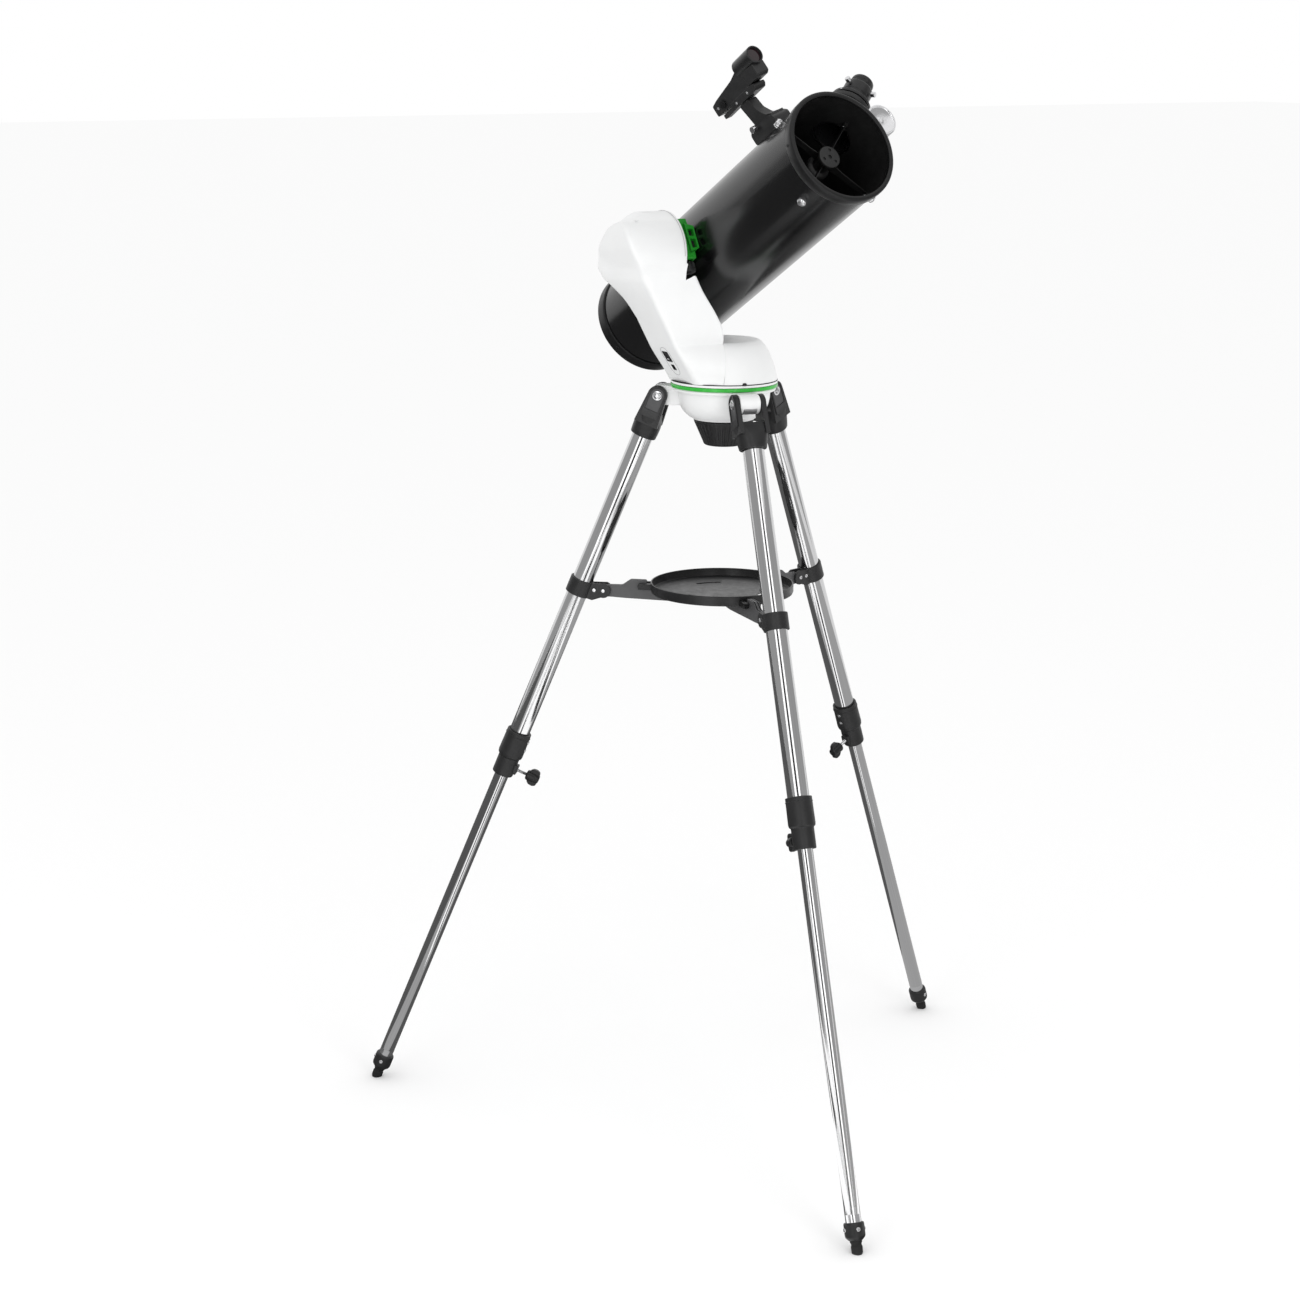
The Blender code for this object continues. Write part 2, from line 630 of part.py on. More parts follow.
def build_turntable():
    """Turntable plate, the moulded cover over it and the arm that stands on it."""
    plate = ring_profile(POST_R + GAP, RING_R - 0.0004, *PLATE_Z)
    add_part("turntable_plate", turned_mesh(plate, 48, closed=True), "white_plastic",
             turntable_axis)

    dome = [(0.0790, COVER_Z), (0.0780, 1.1580), (0.0752, 1.1690), (0.0715, 1.1800),
            (0.0672, 1.1900), (0.0625, 1.1985), (0.0570, 1.2060), (0.0500, 1.2105)]
    outside = [(0, COVER_TOP_Z), (0.0470, COVER_TOP_Z)] + dome[::-1]
    solid = outside + [(0, COVER_Z)]
    inside = [(r - SHELL_WALL, z) for r, z in dome[:-1]] + [(0.0470, 1.2075), (0, 1.2075)]
    hollow = [(0, 1.2075), (0.0470, 1.2075)] + inside[-3::-1]
    hollow = hollow[:-1] + [(hollow[-1][0], COVER_Z - 0.01), (0, COVER_Z - 0.01)]
    seam = (SEAM_FOOT_X, 0, COVER_Z)
    lean = (0, SEAM_SLOPE, 0)

    cover = add_part("base_cover", turned_mesh(outside + inside, 40), "white_plastic",
                     turntable_axis)
    cut(cover, box_mesh((-0.1, -0.1, -0.1), (0, 0.1, 0.1)), seam, lean)

    arm = add_part("arm_housing", arm_mesh(), "white_plastic", turntable_axis)
    flank = join(arm, turned_mesh(solid, 40))
    cut(flank, box_mesh((-GAP, -0.1, -0.1), (0.2, 0.1, 0.1)), seam, lean)
    hollow_arm = cut(arm, arm_mesh(grow=-SHELL_WALL, drop=0.01))
    pivot = (0, 0, PIVOT_Z)
    floor_x = HEAD_FACE_X + 0.0002
    cut(hollow_arm, cylinder_mesh(RECESS_R + SHELL_WALL, floor_x - SHELL_WALL, 0, 48),
        pivot, ALONG_X)
    cut(arm, cylinder_mesh(RECESS_R, floor_x, 0, 48), pivot, ALONG_X)
    pocket = cut(arm, turned_mesh(hollow, 40))
    cut(pocket, box_mesh((-SHELL_WALL, -0.1, -0.1), (0.2, 0.1, 0.1)), seam, lean)
    cut(arm, cylinder_mesh(SHAFT_R + GAP, HEAD_FACE_X - 0.008, HEAD_FACE_X + 0.008),
        (0, 0, PIVOT_Z), ALONG_X)

    switch = outer_face_frame("switch_axis", 0.0, SWITCH_Z)
    cut(arm, box_mesh((-0.0083, -0.0063, -0.02), (0.0083, 0.0063, 0.02)), parent=switch)
    rocker = [(-0.0078, 0.0012), (-0.0070, -0.0060), (0.0070, -0.0060), (0.0078, 0.0012),
              (0.0, 0.0002)]
    add_part("power_switch", slab_mesh(rocker, 0.0058), "black_plastic", switch,
             rotation=(math.pi / 2, SWITCH_TILT, 0))

    socket = outer_face_frame("socket_axis", 0.0, SOCKET_Z)
    cut(arm, cylinder_mesh(0.0054, -0.02, 0.02, 20), parent=socket)
    jack = [(0.0051, 0.0005), (0.0051, -0.0100), (0, -0.0100), (0, -0.0085),
            (0.0030, -0.0085), (0.0030, 0.0005)]
    add_part("power_socket", turned_mesh(jack, 20, closed=True), "black_plastic", socket)


def build_drives():
    """Gears, pinions and motors of both axes, inside the cover and the arm."""
    z = AZIMUTH_GEAR_Z
    gear = ring_profile(POST_R + GAP, AZIMUTH_GEAR_R, z - GEAR_HALF, z + GEAR_HALF)
    add_part("azimuth_gear", turned_mesh(gear, 28, closed=True), "brass", tripod_axis)
    pinion_x = AZIMUTH_GEAR_R + PINION_R + GAP
    add_part("azimuth_pinion", cylinder_mesh(PINION_R, z - GEAR_HALF, z + GEAR_HALF, 14),
             "brass", turntable_axis, (pinion_x, 0, 0))
    add_part("azimuth_motor",
             cylinder_mesh(0.0130, z + GEAR_HALF + 0.0005, z + 0.0300, 16),
             "steel", turntable_axis, (pinion_x, 0, 0))

    pinion_z = PIVOT_Z - ALTITUDE_GEAR_R - PINION_R - GAP
    add_part("altitude_pinion", cylinder_mesh(PINION_R, -GEAR_HALF, GEAR_HALF, 14),
             "brass", turntable_axis, (GEAR_X, 0, pinion_z), ALONG_X)
    add_part("altitude_motor", cylinder_mesh(0.0110, -0.0205, -GEAR_HALF - 0.0005, 16),
             "steel", turntable_axis, (GEAR_X, 0, pinion_z), ALONG_X)

    gear = ring_profile(0.0060 + GAP, ALTITUDE_GEAR_R, -GEAR_HALF, GEAR_HALF)
    add_part("altitude_gear", turned_mesh(gear, 28, closed=True), "brass", altitude_axis,
             (GEAR_X, 0, 0), ALONG_X)
    shaft = [(0, 0.0215), (SHAFT_R, 0.0215), (SHAFT_R, GEAR_HALF + GAP),
             (0.0060, GEAR_HALF + GAP), (0.0060, -0.0250), (0, -0.0250)]
    add_part("altitude_shaft", turned_mesh(shaft, 18), "steel", altitude_axis,
             (GEAR_X, 0, 0), ALONG_X)


# ---- saddle -------------------------------------------------------------------------
SADDLE_FACE = -0.1020
BAR_BACK = -0.0945
BAR_FACE = -0.0800


def build_saddle():
    """Green clamp on the altitude shaft, its knob, and the dovetail bar in its groove."""
    outline = [(SADDLE_FACE, -0.0310), (-0.0870, -0.0310), (-0.0862, -0.0195),
               (BAR_BACK - GAP, -0.0222), (BAR_BACK - GAP, 0.0222), (-0.0862, 0.0195),
               (-0.0870, 0.0310), (SADDLE_FACE, 0.0310)]
    saddle = add_part("saddle_clamp", slab_mesh(outline, 0.0480), "green_plastic",
                      altitude_axis)
    knob_at = (-0.0935, 0, 0.0320)
    cut(saddle, cylinder_mesh(0.0030 + GAP, -0.045, -0.0235, 16), knob_at,
        (-math.pi / 2, 0, 0))

    bar = [(BAR_BACK, -0.0217), (BAR_FACE, -0.0172), (BAR_FACE, 0.0172),
           (BAR_BACK, 0.0217)]
    add_part("dovetail_bar", slab_mesh(bar, 0.0520), "green_plastic", altitude_axis)

    knob = [(0, -0.0240), (0.0030, -0.0240), (0.0030, -0.0318), (0.0080, -0.0318),
            (0.0090, -0.0335), (0.0090, -0.0455), (0.0072, -0.0475), (0, -0.0475)]
    add_part("saddle_knob", turned_mesh(knob, 16), "black_plastic", altitude_axis,
             knob_at, (-math.pi / 2, 0, 0))


# ---- optical tube -------------------------------------------------------------------
VANE_T = 0.2800
CELL_T = REAR_END + 0.0029                  # inner face of the rear cell's back


def build_tube():
    """Rolled tube with its front ring, rear cell, mirrors and spider."""
    wall = ring_profile(TUBE_R - TUBE_WALL, TUBE_R, CELL_T + GAP, FRONT_END - 0.0038)
    tube = add_part("optical_tube", turned_mesh(wall, 56, closed=True), "gloss_black",
                    altitude_axis)
    cut(tube, cylinder_mesh(DRAWTUBE_R + 0.001, 0.05, 0.10, 32), parent=focuser_axis)

    front = [(0.0818, FRONT_END - 0.0180), (0.0828, FRONT_END - 0.0040),
             (0.0820, FRONT_END), (0.0755, FRONT_END), (0.0755, FRONT_END - 0.0035),
             (TUBE_R + GAP, FRONT_END - 0.0035), (TUBE_R + GAP, FRONT_END - 0.0180)]
    add_part("front_ring", turned_mesh(front[::-1], 48, closed=True), "black_plastic",
             altitude_axis)

    band = REAR_END + 0.0215
    rear = [(0, CELL_T), (TUBE_R + GAP, CELL_T), (TUBE_R + GAP, band), (0.0812, band),
            (0.0820, REAR_END + 0.0030), (0.0800, REAR_END), (0, REAR_END)]
    cell = add_part("rear_cell", turned_mesh(rear, 48), "black_plastic", altitude_axis)
    for degrees in (90, 210, 330):
        join(cell, cylinder_mesh(0.0060, CELL_T - 0.001, REAR_END + 0.0222, 10),
             polar(0.0450, degrees))

    low = REAR_END + 0.0225
    mirror = [(0, low + 0.0105), (0.030, low + 0.0108), (0.050, low + 0.0114),
              (MIRROR_R - 0.001, low + 0.0122), (MIRROR_R, low + 0.0112),
              (MIRROR_R, low), (0, low)]
    add_part("primary_mirror", turned_mesh(mirror, 32), "mirror", altitude_axis)


def build_spider():
    """Four thin vanes that carry the hub and the slanted secondary mirror."""
    hub = [(0, 0.2970), (0.0165, 0.2970), (0.0165, 0.2915), (0.0115, 0.2915),
           (0.0115, 0.2640), (0, 0.2640)]
    spider = add_part("spider", turned_mesh(hub, 20), "black_plastic", altitude_axis)
    reach = TUBE_R - TUBE_WALL - GAP
    for quarter in range(4):
        turn = math.radians(45.6 + 90 * quarter)
        join(spider, box_mesh((0.006, -0.0005, VANE_T - 0.0055),
                              (reach, 0.0005, VANE_T + 0.008)), rotation=(0, 0, turn))

    half = 0.0175
    secondary = add_part("secondary_mirror", cylinder_mesh(half, 0.2240, 0.2636, 24),
                         "mirror", altitude_axis)
    slope = Matrix.Rotation(math.radians(FOCUS_ANGLE), 3, "Z")
    slope = slope @ Matrix.Rotation(math.radians(45), 3, "Y")
    cut(secondary, box_mesh((0, -0.05, -0.08), (0.08, 0.05, 0.08)), (0, 0, FOCUS_T),
        slope.to_euler())


# ---- focuser ------------------------------------------------------------------------
def build_focuser():
    """Focuser on the tube: housing, drawtube, roller with two knobs, and eyepiece.
    Its frame: X along the tube, Y across, Z out along the drawtube."""
    bore = DRAWTUBE_R + GAP
    body = add_part("focuser_body", cylinder_mesh(FOCUSER_R, 0.0740, FOCUSER_TOP, 28),
                    "black_plastic", focuser_axis)
    join(body, box_mesh((-0.0380, -0.0370, 0.0600), (0.0380, 0.0370, 0.0860)))
    join(body, box_mesh((-0.0200, 0.0250, ROLLER_RHO - 0.0130),
                        (0.0200, 0.0510, ROLLER_RHO + 0.0130)))
    cut(body, cylinder_mesh(TUBE_R + 2 * GAP, -0.1, 0.1, 64), rotation=ALONG_X)
    cut(body, cylinder_mesh(bore, 0.05, 0.18, 28))
    roller_y = DRAWTUBE_R + ROLLER_R + 0.0002
    axle_at = (0, roller_y, ROLLER_RHO)
    cut(body, cylinder_mesh(ROLLER_R + GAP, -0.0104, 0.0104, 24), axle_at, ALONG_X)
    cut(body, cylinder_mesh(0.0030 + GAP, -0.05, 0.05, 16), axle_at, ALONG_X)

    flange = FOCUSER_TOP + 0.0062
    draw = [(DRAWTUBE_R, 0.0790), (DRAWTUBE_R, flange), (0.0305, flange),
            (0.0305, flange + 0.0050), (0.0212, flange + 0.0070), (0.0205, flange + 0.036),
            (0.0161, flange + 0.036), (0.0161, flange + 0.002), (0.0250, flange - 0.006),
            (0.0250, 0.0790)]
    add_part("drawtube", turned_mesh(draw[::-1], 28, closed=True), "black_plastic",
             focuser_axis)

    knob = [(0, 0.0560), (0.0225, 0.0560), (0.0235, 0.0545), (0.0235, 0.0430),
            (0.0200, 0.0400), (0.0030, 0.0400), (0.0030, 0.0100), (ROLLER_R, 0.0100)]
    mirrored = [(r, -z) for r, z in knob[::-1]]
    add_part("focus_knobs", turned_mesh(knob + mirrored, 20), "steel", focuser_axis,
             axle_at, ALONG_X)

    seat = flange + 0.0364
    eye = [(0, seat + 0.0105), (0.0105, seat + 0.0115), (0.0120, seat + 0.0150),
           (0.0150, seat + 0.0155), (0.0168, seat + 0.0130), (0.0168, seat),
           (0.0158, seat), (0.0158, flange + 0.0040), (0, flange + 0.0040)]
    add_part("eyepiece", turned_mesh(eye, 24), "black_plastic", focuser_axis)


# ---- finder -------------------------------------------------------------------------
def finder_point(t, rho):
    """A point of the finder's side view, from its place along and out from the tube."""
    return (t - FINDER_T, rho)


def build_finder():
    """Red-dot finder: shoe and stalk, sight body with its window."""
    foot = [finder_point(0.2000, 0.0840), finder_point(0.2580, 0.0840),
            finder_point(0.2580, 0.0990), finder_point(0.2400, 0.1020),
            finder_point(0.2260, 0.1210), finder_point(0.2250, 0.1372),
            finder_point(0.2020, 0.1372), finder_point(0.2060, 0.1180),
            finder_point(0.2120, 0.1020), finder_point(0.2000, 0.0990)]
    upright = (math.pi / 2, 0, 0)
    bracket = add_part("finder_bracket", slab_mesh(foot, 0.0075), "black_plastic",
                       finder_axis, rotation=upright)
    join(bracket, box_mesh((-0.0320, -0.0150, 0.0700), (0.0300, 0.0150, 0.0880)))
    cut(bracket, cylinder_mesh(TUBE_R + 2 * GAP, -0.1, 0.1, 64), rotation=ALONG_X)

    side = [finder_point(0.1560, 0.1376), finder_point(0.2540, 0.1376),
            finder_point(0.2550, 0.1450), finder_point(0.2500, 0.1480),
            finder_point(0.2720, 0.1485), finder_point(0.2750, 0.1650),
            finder_point(0.2580, 0.1680), finder_point(0.2360, 0.1760),
            finder_point(0.2180, 0.1700), finder_point(0.1700, 0.1670),
            finder_point(0.1560, 0.1650)]
    body = add_part("finder_body", slab_mesh(side, FINDER_HALF), "black_plastic",
                    finder_axis, rotation=upright)
    lens_at = (0, 0, 0.1780)
    low = 0.2380 - FINDER_T
    high = 0.2800 - FINDER_T
    join(body, cylinder_mesh(0.0130, low, high, 20), lens_at, ALONG_X)
    cut(body, cylinder_mesh(0.0105, low - 0.01, high + 0.01, 20), lens_at, ALONG_X)
    add_part("finder_lens", cylinder_mesh(0.0105 - GAP, high - 0.0060, high - 0.0035, 20),
             "lens", finder_axis, lens_at, ALONG_X)


build_tripod_head()
for leg_number, leg_azimuth in enumerate(LEG_AZIMUTHS, start=1):
    build_leg(leg_number, leg_azimuth)
build_brace()
build_tray()
build_turntable()
build_drives()
build_saddle()
build_tube()
build_spider()
build_focuser()
build_finder()
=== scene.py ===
"""Looks of the newtonian reflector: fine meshes, materials, floor, light and camera.

Metres, +Z up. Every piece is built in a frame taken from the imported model's joints and
rides on the body that it belongs to.
"""
import json
import math

import bmesh
import bpy
from mathutils import Matrix, Vector


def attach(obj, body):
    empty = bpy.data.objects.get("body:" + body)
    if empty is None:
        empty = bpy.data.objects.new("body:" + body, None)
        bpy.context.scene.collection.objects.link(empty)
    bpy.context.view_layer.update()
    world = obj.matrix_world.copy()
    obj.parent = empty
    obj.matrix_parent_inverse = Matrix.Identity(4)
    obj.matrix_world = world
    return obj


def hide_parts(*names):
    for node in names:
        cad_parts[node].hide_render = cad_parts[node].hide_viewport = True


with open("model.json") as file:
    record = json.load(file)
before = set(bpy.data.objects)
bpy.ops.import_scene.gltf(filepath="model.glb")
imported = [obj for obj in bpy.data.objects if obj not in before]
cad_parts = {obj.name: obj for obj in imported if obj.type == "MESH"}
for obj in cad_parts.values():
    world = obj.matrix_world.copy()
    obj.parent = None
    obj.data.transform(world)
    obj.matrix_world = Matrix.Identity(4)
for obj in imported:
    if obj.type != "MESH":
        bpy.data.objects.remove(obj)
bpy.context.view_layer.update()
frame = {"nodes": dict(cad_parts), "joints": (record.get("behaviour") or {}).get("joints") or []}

scene = bpy.context.scene
GAP = 0.0003

# ---- frames from the model's joints ----
JOINTS = {joint["name"]: joint for joint in frame["joints"]}


def pos_of(name):
    """A hinge's point."""
    return Vector(JOINTS[name]["pos_m"])


def axis_of(name):
    """A joint's direction."""
    return Vector(JOINTS[name]["axis"]).normalized()


def frame_at(origin, x_axis, z_axis):
    """A frame with Z along z_axis and X as near as it can be to x_axis."""
    z = Vector(z_axis).normalized()
    y = z.cross(Vector(x_axis)).normalized()
    matrix = Matrix((y.cross(z), y, z)).transposed().to_4x4()
    matrix.translation = origin
    return matrix


def polar(radius, degrees, z=0.0):
    """A point at a radius and an angle about Z."""
    angle = math.radians(degrees)
    return Vector((radius * math.cos(angle), radius * math.sin(angle), z))


def radial(radius, degrees, z):
    """A frame at a place round the Z axis: its Z outwards, its X along the axis."""
    return frame_at(polar(radius, degrees, z), (0, 0, 1), polar(1, degrees))


AXIS = pos_of("azimuth")
PIVOT_Z = pos_of("altitude").z
ALONG_TUBE = axis_of("focus_knob_turn")
GROUND = Matrix.Translation((AXIS.x, AXIS.y, 0))
TUBE = frame_at((AXIS.x, AXIS.y, PIVOT_Z), (1, 0, 0), ALONG_TUBE)
FOCUS_T = 0.2450
FINDER_T = 0.2300
FINDER_ANGLE = 110.0
FOCUSER = frame_at(TUBE @ Vector((0, 0, FOCUS_T)), ALONG_TUBE, axis_of("focus_travel"))
FINDER = frame_at(TUBE @ Vector((0, 0, FINDER_T)), ALONG_TUBE,
                  TUBE.to_3x3() @ polar(1, FINDER_ANGLE))
LEGS = [frame_at(pos_of(f"leg_fold_{i}"), axis_of(f"wing_screw_turn_{i}"),
                 axis_of(f"leg_slide_{i}")) for i in (1, 2, 3)]
LEG_TURNS = [math.degrees(math.atan2(leg.translation.y - AXIS.y,
                                     leg.translation.x - AXIS.x)) for leg in LEGS]


def leg_upright(i, radius, z):
    """A frame at a radius and height in a leg's plane: X outwards, Z up."""
    out = polar(1, LEG_TURNS[i])
    return frame_at(Vector((AXIS.x, AXIS.y, z)) + out * radius, out, (0, 0, 1))


# ---- materials ----
LOOKS = {}
NOISE_SPAN = (0.3, 0.7)      # where most of a noise texture's values lie


def look(name, colour, roughness, metallic=0.0, mottle=0.06, mottle_scale=60.0,
         spread=0.06, spread_scale=120.0, bump=0.05, bump_scale=1800.0, depth=0.0002,
         stretch=(1, 1, 1), wear=0.0, specular=0.5):
    """A procedural finish: mottled colour, uneven gloss, fine relief and worn edges."""
    material = bpy.data.materials.new(name)
    material.use_nodes = True
    tree = material.node_tree
    shader = tree.nodes["Principled BSDF"]
    shader.inputs["Metallic"].default_value = metallic
    shader.inputs["Specular IOR Level"].default_value = specular

    def node(kind, **inputs):
        """A new node with its inputs set. An underscore stands for a space."""
        made = tree.nodes.new(kind)
        for key, value in inputs.items():
            made.inputs[key.replace("_", " ")].default_value = value
        return made

    place = node("ShaderNodeTexCoord")
    stretched = node("ShaderNodeMapping", Scale=stretch)
    tree.links.new(place.outputs["Object"], stretched.inputs["Vector"])

    def noise(scale, detail):
        texture = node("ShaderNodeTexNoise", Scale=scale, Detail=detail)
        tree.links.new(stretched.outputs[0], texture.inputs["Vector"])
        return texture.outputs["Fac"]

    shade = node("ShaderNodeValToRGB")
    for stop, value, factor in zip(shade.color_ramp.elements, NOISE_SPAN,
                                   (1 - mottle, 1 + mottle)):
        stop.color = (*[min(c * factor, 1.0) for c in colour], 1)
        stop.position = value
    tree.links.new(noise(mottle_scale, 4.0), shade.inputs["Fac"])
    colour_out = shade.outputs["Color"]
    if wear:
        edges = node("ShaderNodeNewGeometry")
        band = node("ShaderNodeMapRange", From_Min=0.52, From_Max=0.62, To_Max=wear)
        tree.links.new(edges.outputs["Pointiness"], band.inputs["Value"])
        worn = node("ShaderNodeMixRGB",
                    Color2=(*[min(c * 3 + 0.04, 1) for c in colour], 1))
        tree.links.new(band.outputs["Result"], worn.inputs["Fac"])
        tree.links.new(colour_out, worn.inputs["Color1"])
        colour_out = worn.outputs["Color"]
    tree.links.new(colour_out, shader.inputs["Base Color"])

    gloss = node("ShaderNodeMapRange", From_Min=NOISE_SPAN[0], From_Max=NOISE_SPAN[1],
                 To_Min=max(roughness - spread, 0.02), To_Max=roughness + spread)
    tree.links.new(noise(spread_scale, 3.0), gloss.inputs["Value"])
    tree.links.new(gloss.outputs["Result"], shader.inputs["Roughness"])

    relief = node("ShaderNodeBump", Strength=bump, Distance=depth)
    tree.links.new(noise(bump_scale, 2.0), relief.inputs["Height"])
    tree.links.new(relief.outputs["Normal"], shader.inputs["Normal"])
    LOOKS[name] = material


look("white_shell", (0.775, 0.78, 0.78), 0.34, mottle=0.012,
     mottle_scale=30, bump=0.10, bump_scale=2200, specular=0.45)
# Grey for thin beads on the white shell that paint in the shade of its seam and of an engraved
# groove (painted shade).
look("painted_groove_shade", (0.34, 0.345, 0.345), 0.45, mottle=0.02,
     bump=0.05)
look("green_gloss", (0.030, 0.40, 0.040), 0.26, mottle=0.05, bump=0.05)
# Saddle green: darkened below the ring's green to paint in the shade that lies on the saddle
# (painted shade).
look("green_cast_painted_shade", (0.008, 0.20, 0.012), 0.30, mottle=0.10, bump=0.22,
     bump_scale=1100, wear=0.10)
look("black_moulding", (0.012, 0.012, 0.0125), 0.43, mottle=0.15,
     bump=0.30, bump_scale=1500, wear=0.22, specular=0.40)
look("black_smooth", (0.007, 0.007, 0.0075), 0.30, mottle=0.12,
     bump=0.08, bump_scale=1200, wear=0.12, specular=0.36)
look("black_ring", (0.006, 0.006, 0.0063), 0.36, mottle=0.10,
     bump=0.16, bump_scale=1500, wear=0.10, specular=0.32)
look("black_anodised", (0.008, 0.008, 0.0085), 0.33, mottle=0.10,
     bump=0.12, bump_scale=1800, wear=0.20, specular=0.40)
look("flat_black", (0.010, 0.010, 0.010), 0.75, mottle=0.25, bump=0.3,
     bump_scale=900, specular=0.25)
look("strut_coat", (0.060, 0.060, 0.062), 0.42, mottle=0.12,
     mottle_scale=25, bump=0.25, bump_scale=1300, wear=0.15)
look("panel_grey", (0.045, 0.045, 0.047), 0.36, mottle=0.12,
     mottle_scale=40, bump=0.15, bump_scale=1300)
look("tray_gloss", (0.010, 0.010, 0.0105), 0.34, mottle=0.06,
     bump=0.06, bump_scale=1000, wear=0.12, specular=0.40)
look("rubber", (0.013, 0.013, 0.013), 0.72, mottle=0.25, bump=0.5,
     bump_scale=900, specular=0.3)
look("leg_steel", (0.62, 0.62, 0.625), 0.09, metallic=1.0, mottle=0.06,
     mottle_scale=1.0, spread=0.02, spread_scale=1.0, bump=0.04, bump_scale=1.5,
     depth=0.00006, stretch=(900, 900, 7))
look("bright_steel", (0.70, 0.70, 0.71), 0.17, metallic=1.0, mottle=0.05,
     spread=0.05, bump=0.06, bump_scale=900, depth=0.0001)
look("matt_steel", (0.62, 0.62, 0.63), 0.50, metallic=0.9, mottle=0.05,
     bump=0.08, bump_scale=900)
look("turned_silver", (0.74, 0.74, 0.75), 0.20, metallic=1.0, mottle=0.04,
     spread=0.05, bump=0.05, bump_scale=700, depth=0.0001)
look("gear_brass", (0.55, 0.40, 0.17), 0.32, metallic=1.0, mottle=0.12,
     bump=0.1)
look("enamel", (0.0022, 0.0022, 0.0025), 0.20, mottle=0.10,
     mottle_scale=6, spread=0.02, spread_scale=12, bump=0.05, bump_scale=260,
     depth=0.0001, specular=0.60)
look("tube_inside", (0.008, 0.008, 0.008), 0.62, mottle=0.20,
     bump=0.25, bump_scale=500, specular=0.3)
look("vane_black", (0.012, 0.012, 0.012), 0.50, mottle=0.2, bump=0.15)
look("mirror_coat", (0.86, 0.87, 0.88), 0.04, metallic=1.0, mottle=0.01,
     spread=0.015, bump=0.01)
look("mirror_edge", (0.42, 0.46, 0.45), 0.35, mottle=0.05, bump=0.1)
look("lens_dark", (0.012, 0.004, 0.006), 0.06, mottle=0.10, spread=0.02,
     bump=0.01)
look("switch_black", (0.012, 0.012, 0.013), 0.24, mottle=0.10,
     bump=0.06, wear=0.15)


# ---- mesh tools ----
def round_corner(before, corner, after, radius, steps):
    """Points that round one corner off."""
    corner = Vector(corner)
    back, onward = Vector(before) - corner, Vector(after) - corner
    start = corner + back.normalized() * min(radius, 0.45 * back.length)
    end = corner + onward.normalized() * min(radius, 0.45 * onward.length)
    return [tuple(start * (1 - f) ** 2 + corner * 2 * f * (1 - f) + end * f * f)
            for f in (step / steps for step in range(steps + 1))]


def soften(points, radius, closed=False, steps=3):
    """Round the corners of an outline or a profile."""
    out = []
    for i, point in enumerate(points):
        if not closed and i in (0, len(points) - 1):
            out.append(tuple(point))
        else:
            out += round_corner(points[i - 1], point, points[(i + 1) % len(points)],
                                radius, steps)
    return out


def bezier(a, b, c, d, steps=10):
    """Points on a cubic curve."""
    points = []
    for step in range(steps + 1):
        f = step / steps
        g = 1 - f
        points.append(tuple(g ** 3 * p + 3 * g * g * f * q + 3 * g * f * f * r + f ** 3 * s
                            for p, q, r, s in zip(a, b, c, d)))
    return points


def arc(cx, cy, radius, start, end, count=12):
    """Points along an arc, angles in degrees."""
    steps = [math.radians(start + (end - start) * i / count) for i in range(count + 1)]
    return [(cx + radius * math.cos(a), cy + radius * math.sin(a)) for a in steps]


def above(base, *points):
    """Profile points (radius, height), their heights counted from a base."""
    return [(radius, base + height) for radius, height in points]


def skin(rings, closed=False, caps=False):
    """Join rings of points with faces. A ring of one point is a pole."""
    bm = bmesh.new()
    made = [[bm.verts.new(point) for point in ring] for ring in rings]
    pairs = list(zip(made, made[1:]))
    if closed:
        pairs.append((made[-1], made[0]))
    for low, high in pairs:
        count = max(len(low), len(high))
        for i in range(count):
            j = (i + 1) % count
            around = [low[i % len(low)], low[j % len(low)], high[j % len(high)],
                      high[i % len(high)]]
            corners = list(dict.fromkeys(around))
            if len(corners) > 2:
                bm.faces.new(corners)
    if caps:
        bm.faces.new(made[0])
        bm.faces.new(made[-1])
    bmesh.ops.recalc_face_normals(bm, faces=bm.faces)
    return bm


def lathe(profile, sides=96, closed=False, ribs=0, depth=0.0, ribbed=(0, 0)):
    """A turned shape from (radius, z) points, with ribs cut between two heights."""
    rings = []
    for radius, z in profile:
        if radius < 1e-6:
            rings.append([(0, 0, z)])
            continue
        low_radius = radius - (depth if ribbed[0] < z < ribbed[1] else 0.0)
        ring = []
        for i in range(sides):
            angle = 2 * math.pi * i / sides
            r = radius if (i * ribs / sides) % 1.0 < 0.5 else low_radius
            ring.append((r * math.cos(angle), r * math.sin(angle), z))
        rings.append(ring)
    return skin(rings, closed=closed)


def rod(radius, low, high, sides=24):
    """A plain cylinder."""
    return lathe([(0, low), (radius, low), (radius, high), (0, high)], sides)


def hoop(inner, outer, low, high, softness, sides, steps=3):
    """A ring of rectangular section with soft edges."""
    section = [(inner, low), (outer, low), (outer, high), (inner, high)]
    return lathe(soften(section, softness, closed=True, steps=steps), sides, closed=True)


def plate(half_x, half_y, radius, steps=3):
    """A rectangle's outline with round corners."""
    return soften([(-half_x, -half_y), (half_x, -half_y), (half_x, half_y),
                   (-half_x, half_y)], radius, closed=True, steps=steps)


def prism(outline, low, high):
    """An (x, y) outline extruded along Z."""
    return skin([[(x, y, low) for x, y in outline], [(x, y, high) for x, y in outline]],
                caps=True)


def box(low, high):
    """A box between two corners."""
    (x0, y0, z0), (x1, y1, z1) = low, high
    return prism([(x0, y0), (x1, y0), (x1, y1), (x0, y1)], z0, z1)


def moved(bm, location=(0, 0, 0), rotation=None):
    """The same mesh, turned and then moved."""
    matrix = Matrix.Translation(location)
    if rotation is not None:
        matrix = matrix @ rotation.to_4x4()
    bmesh.ops.transform(bm, matrix=matrix, verts=bm.verts)
    if matrix.determinant() < 0:
        bmesh.ops.reverse_faces(bm, faces=bm.faces)
    return bm


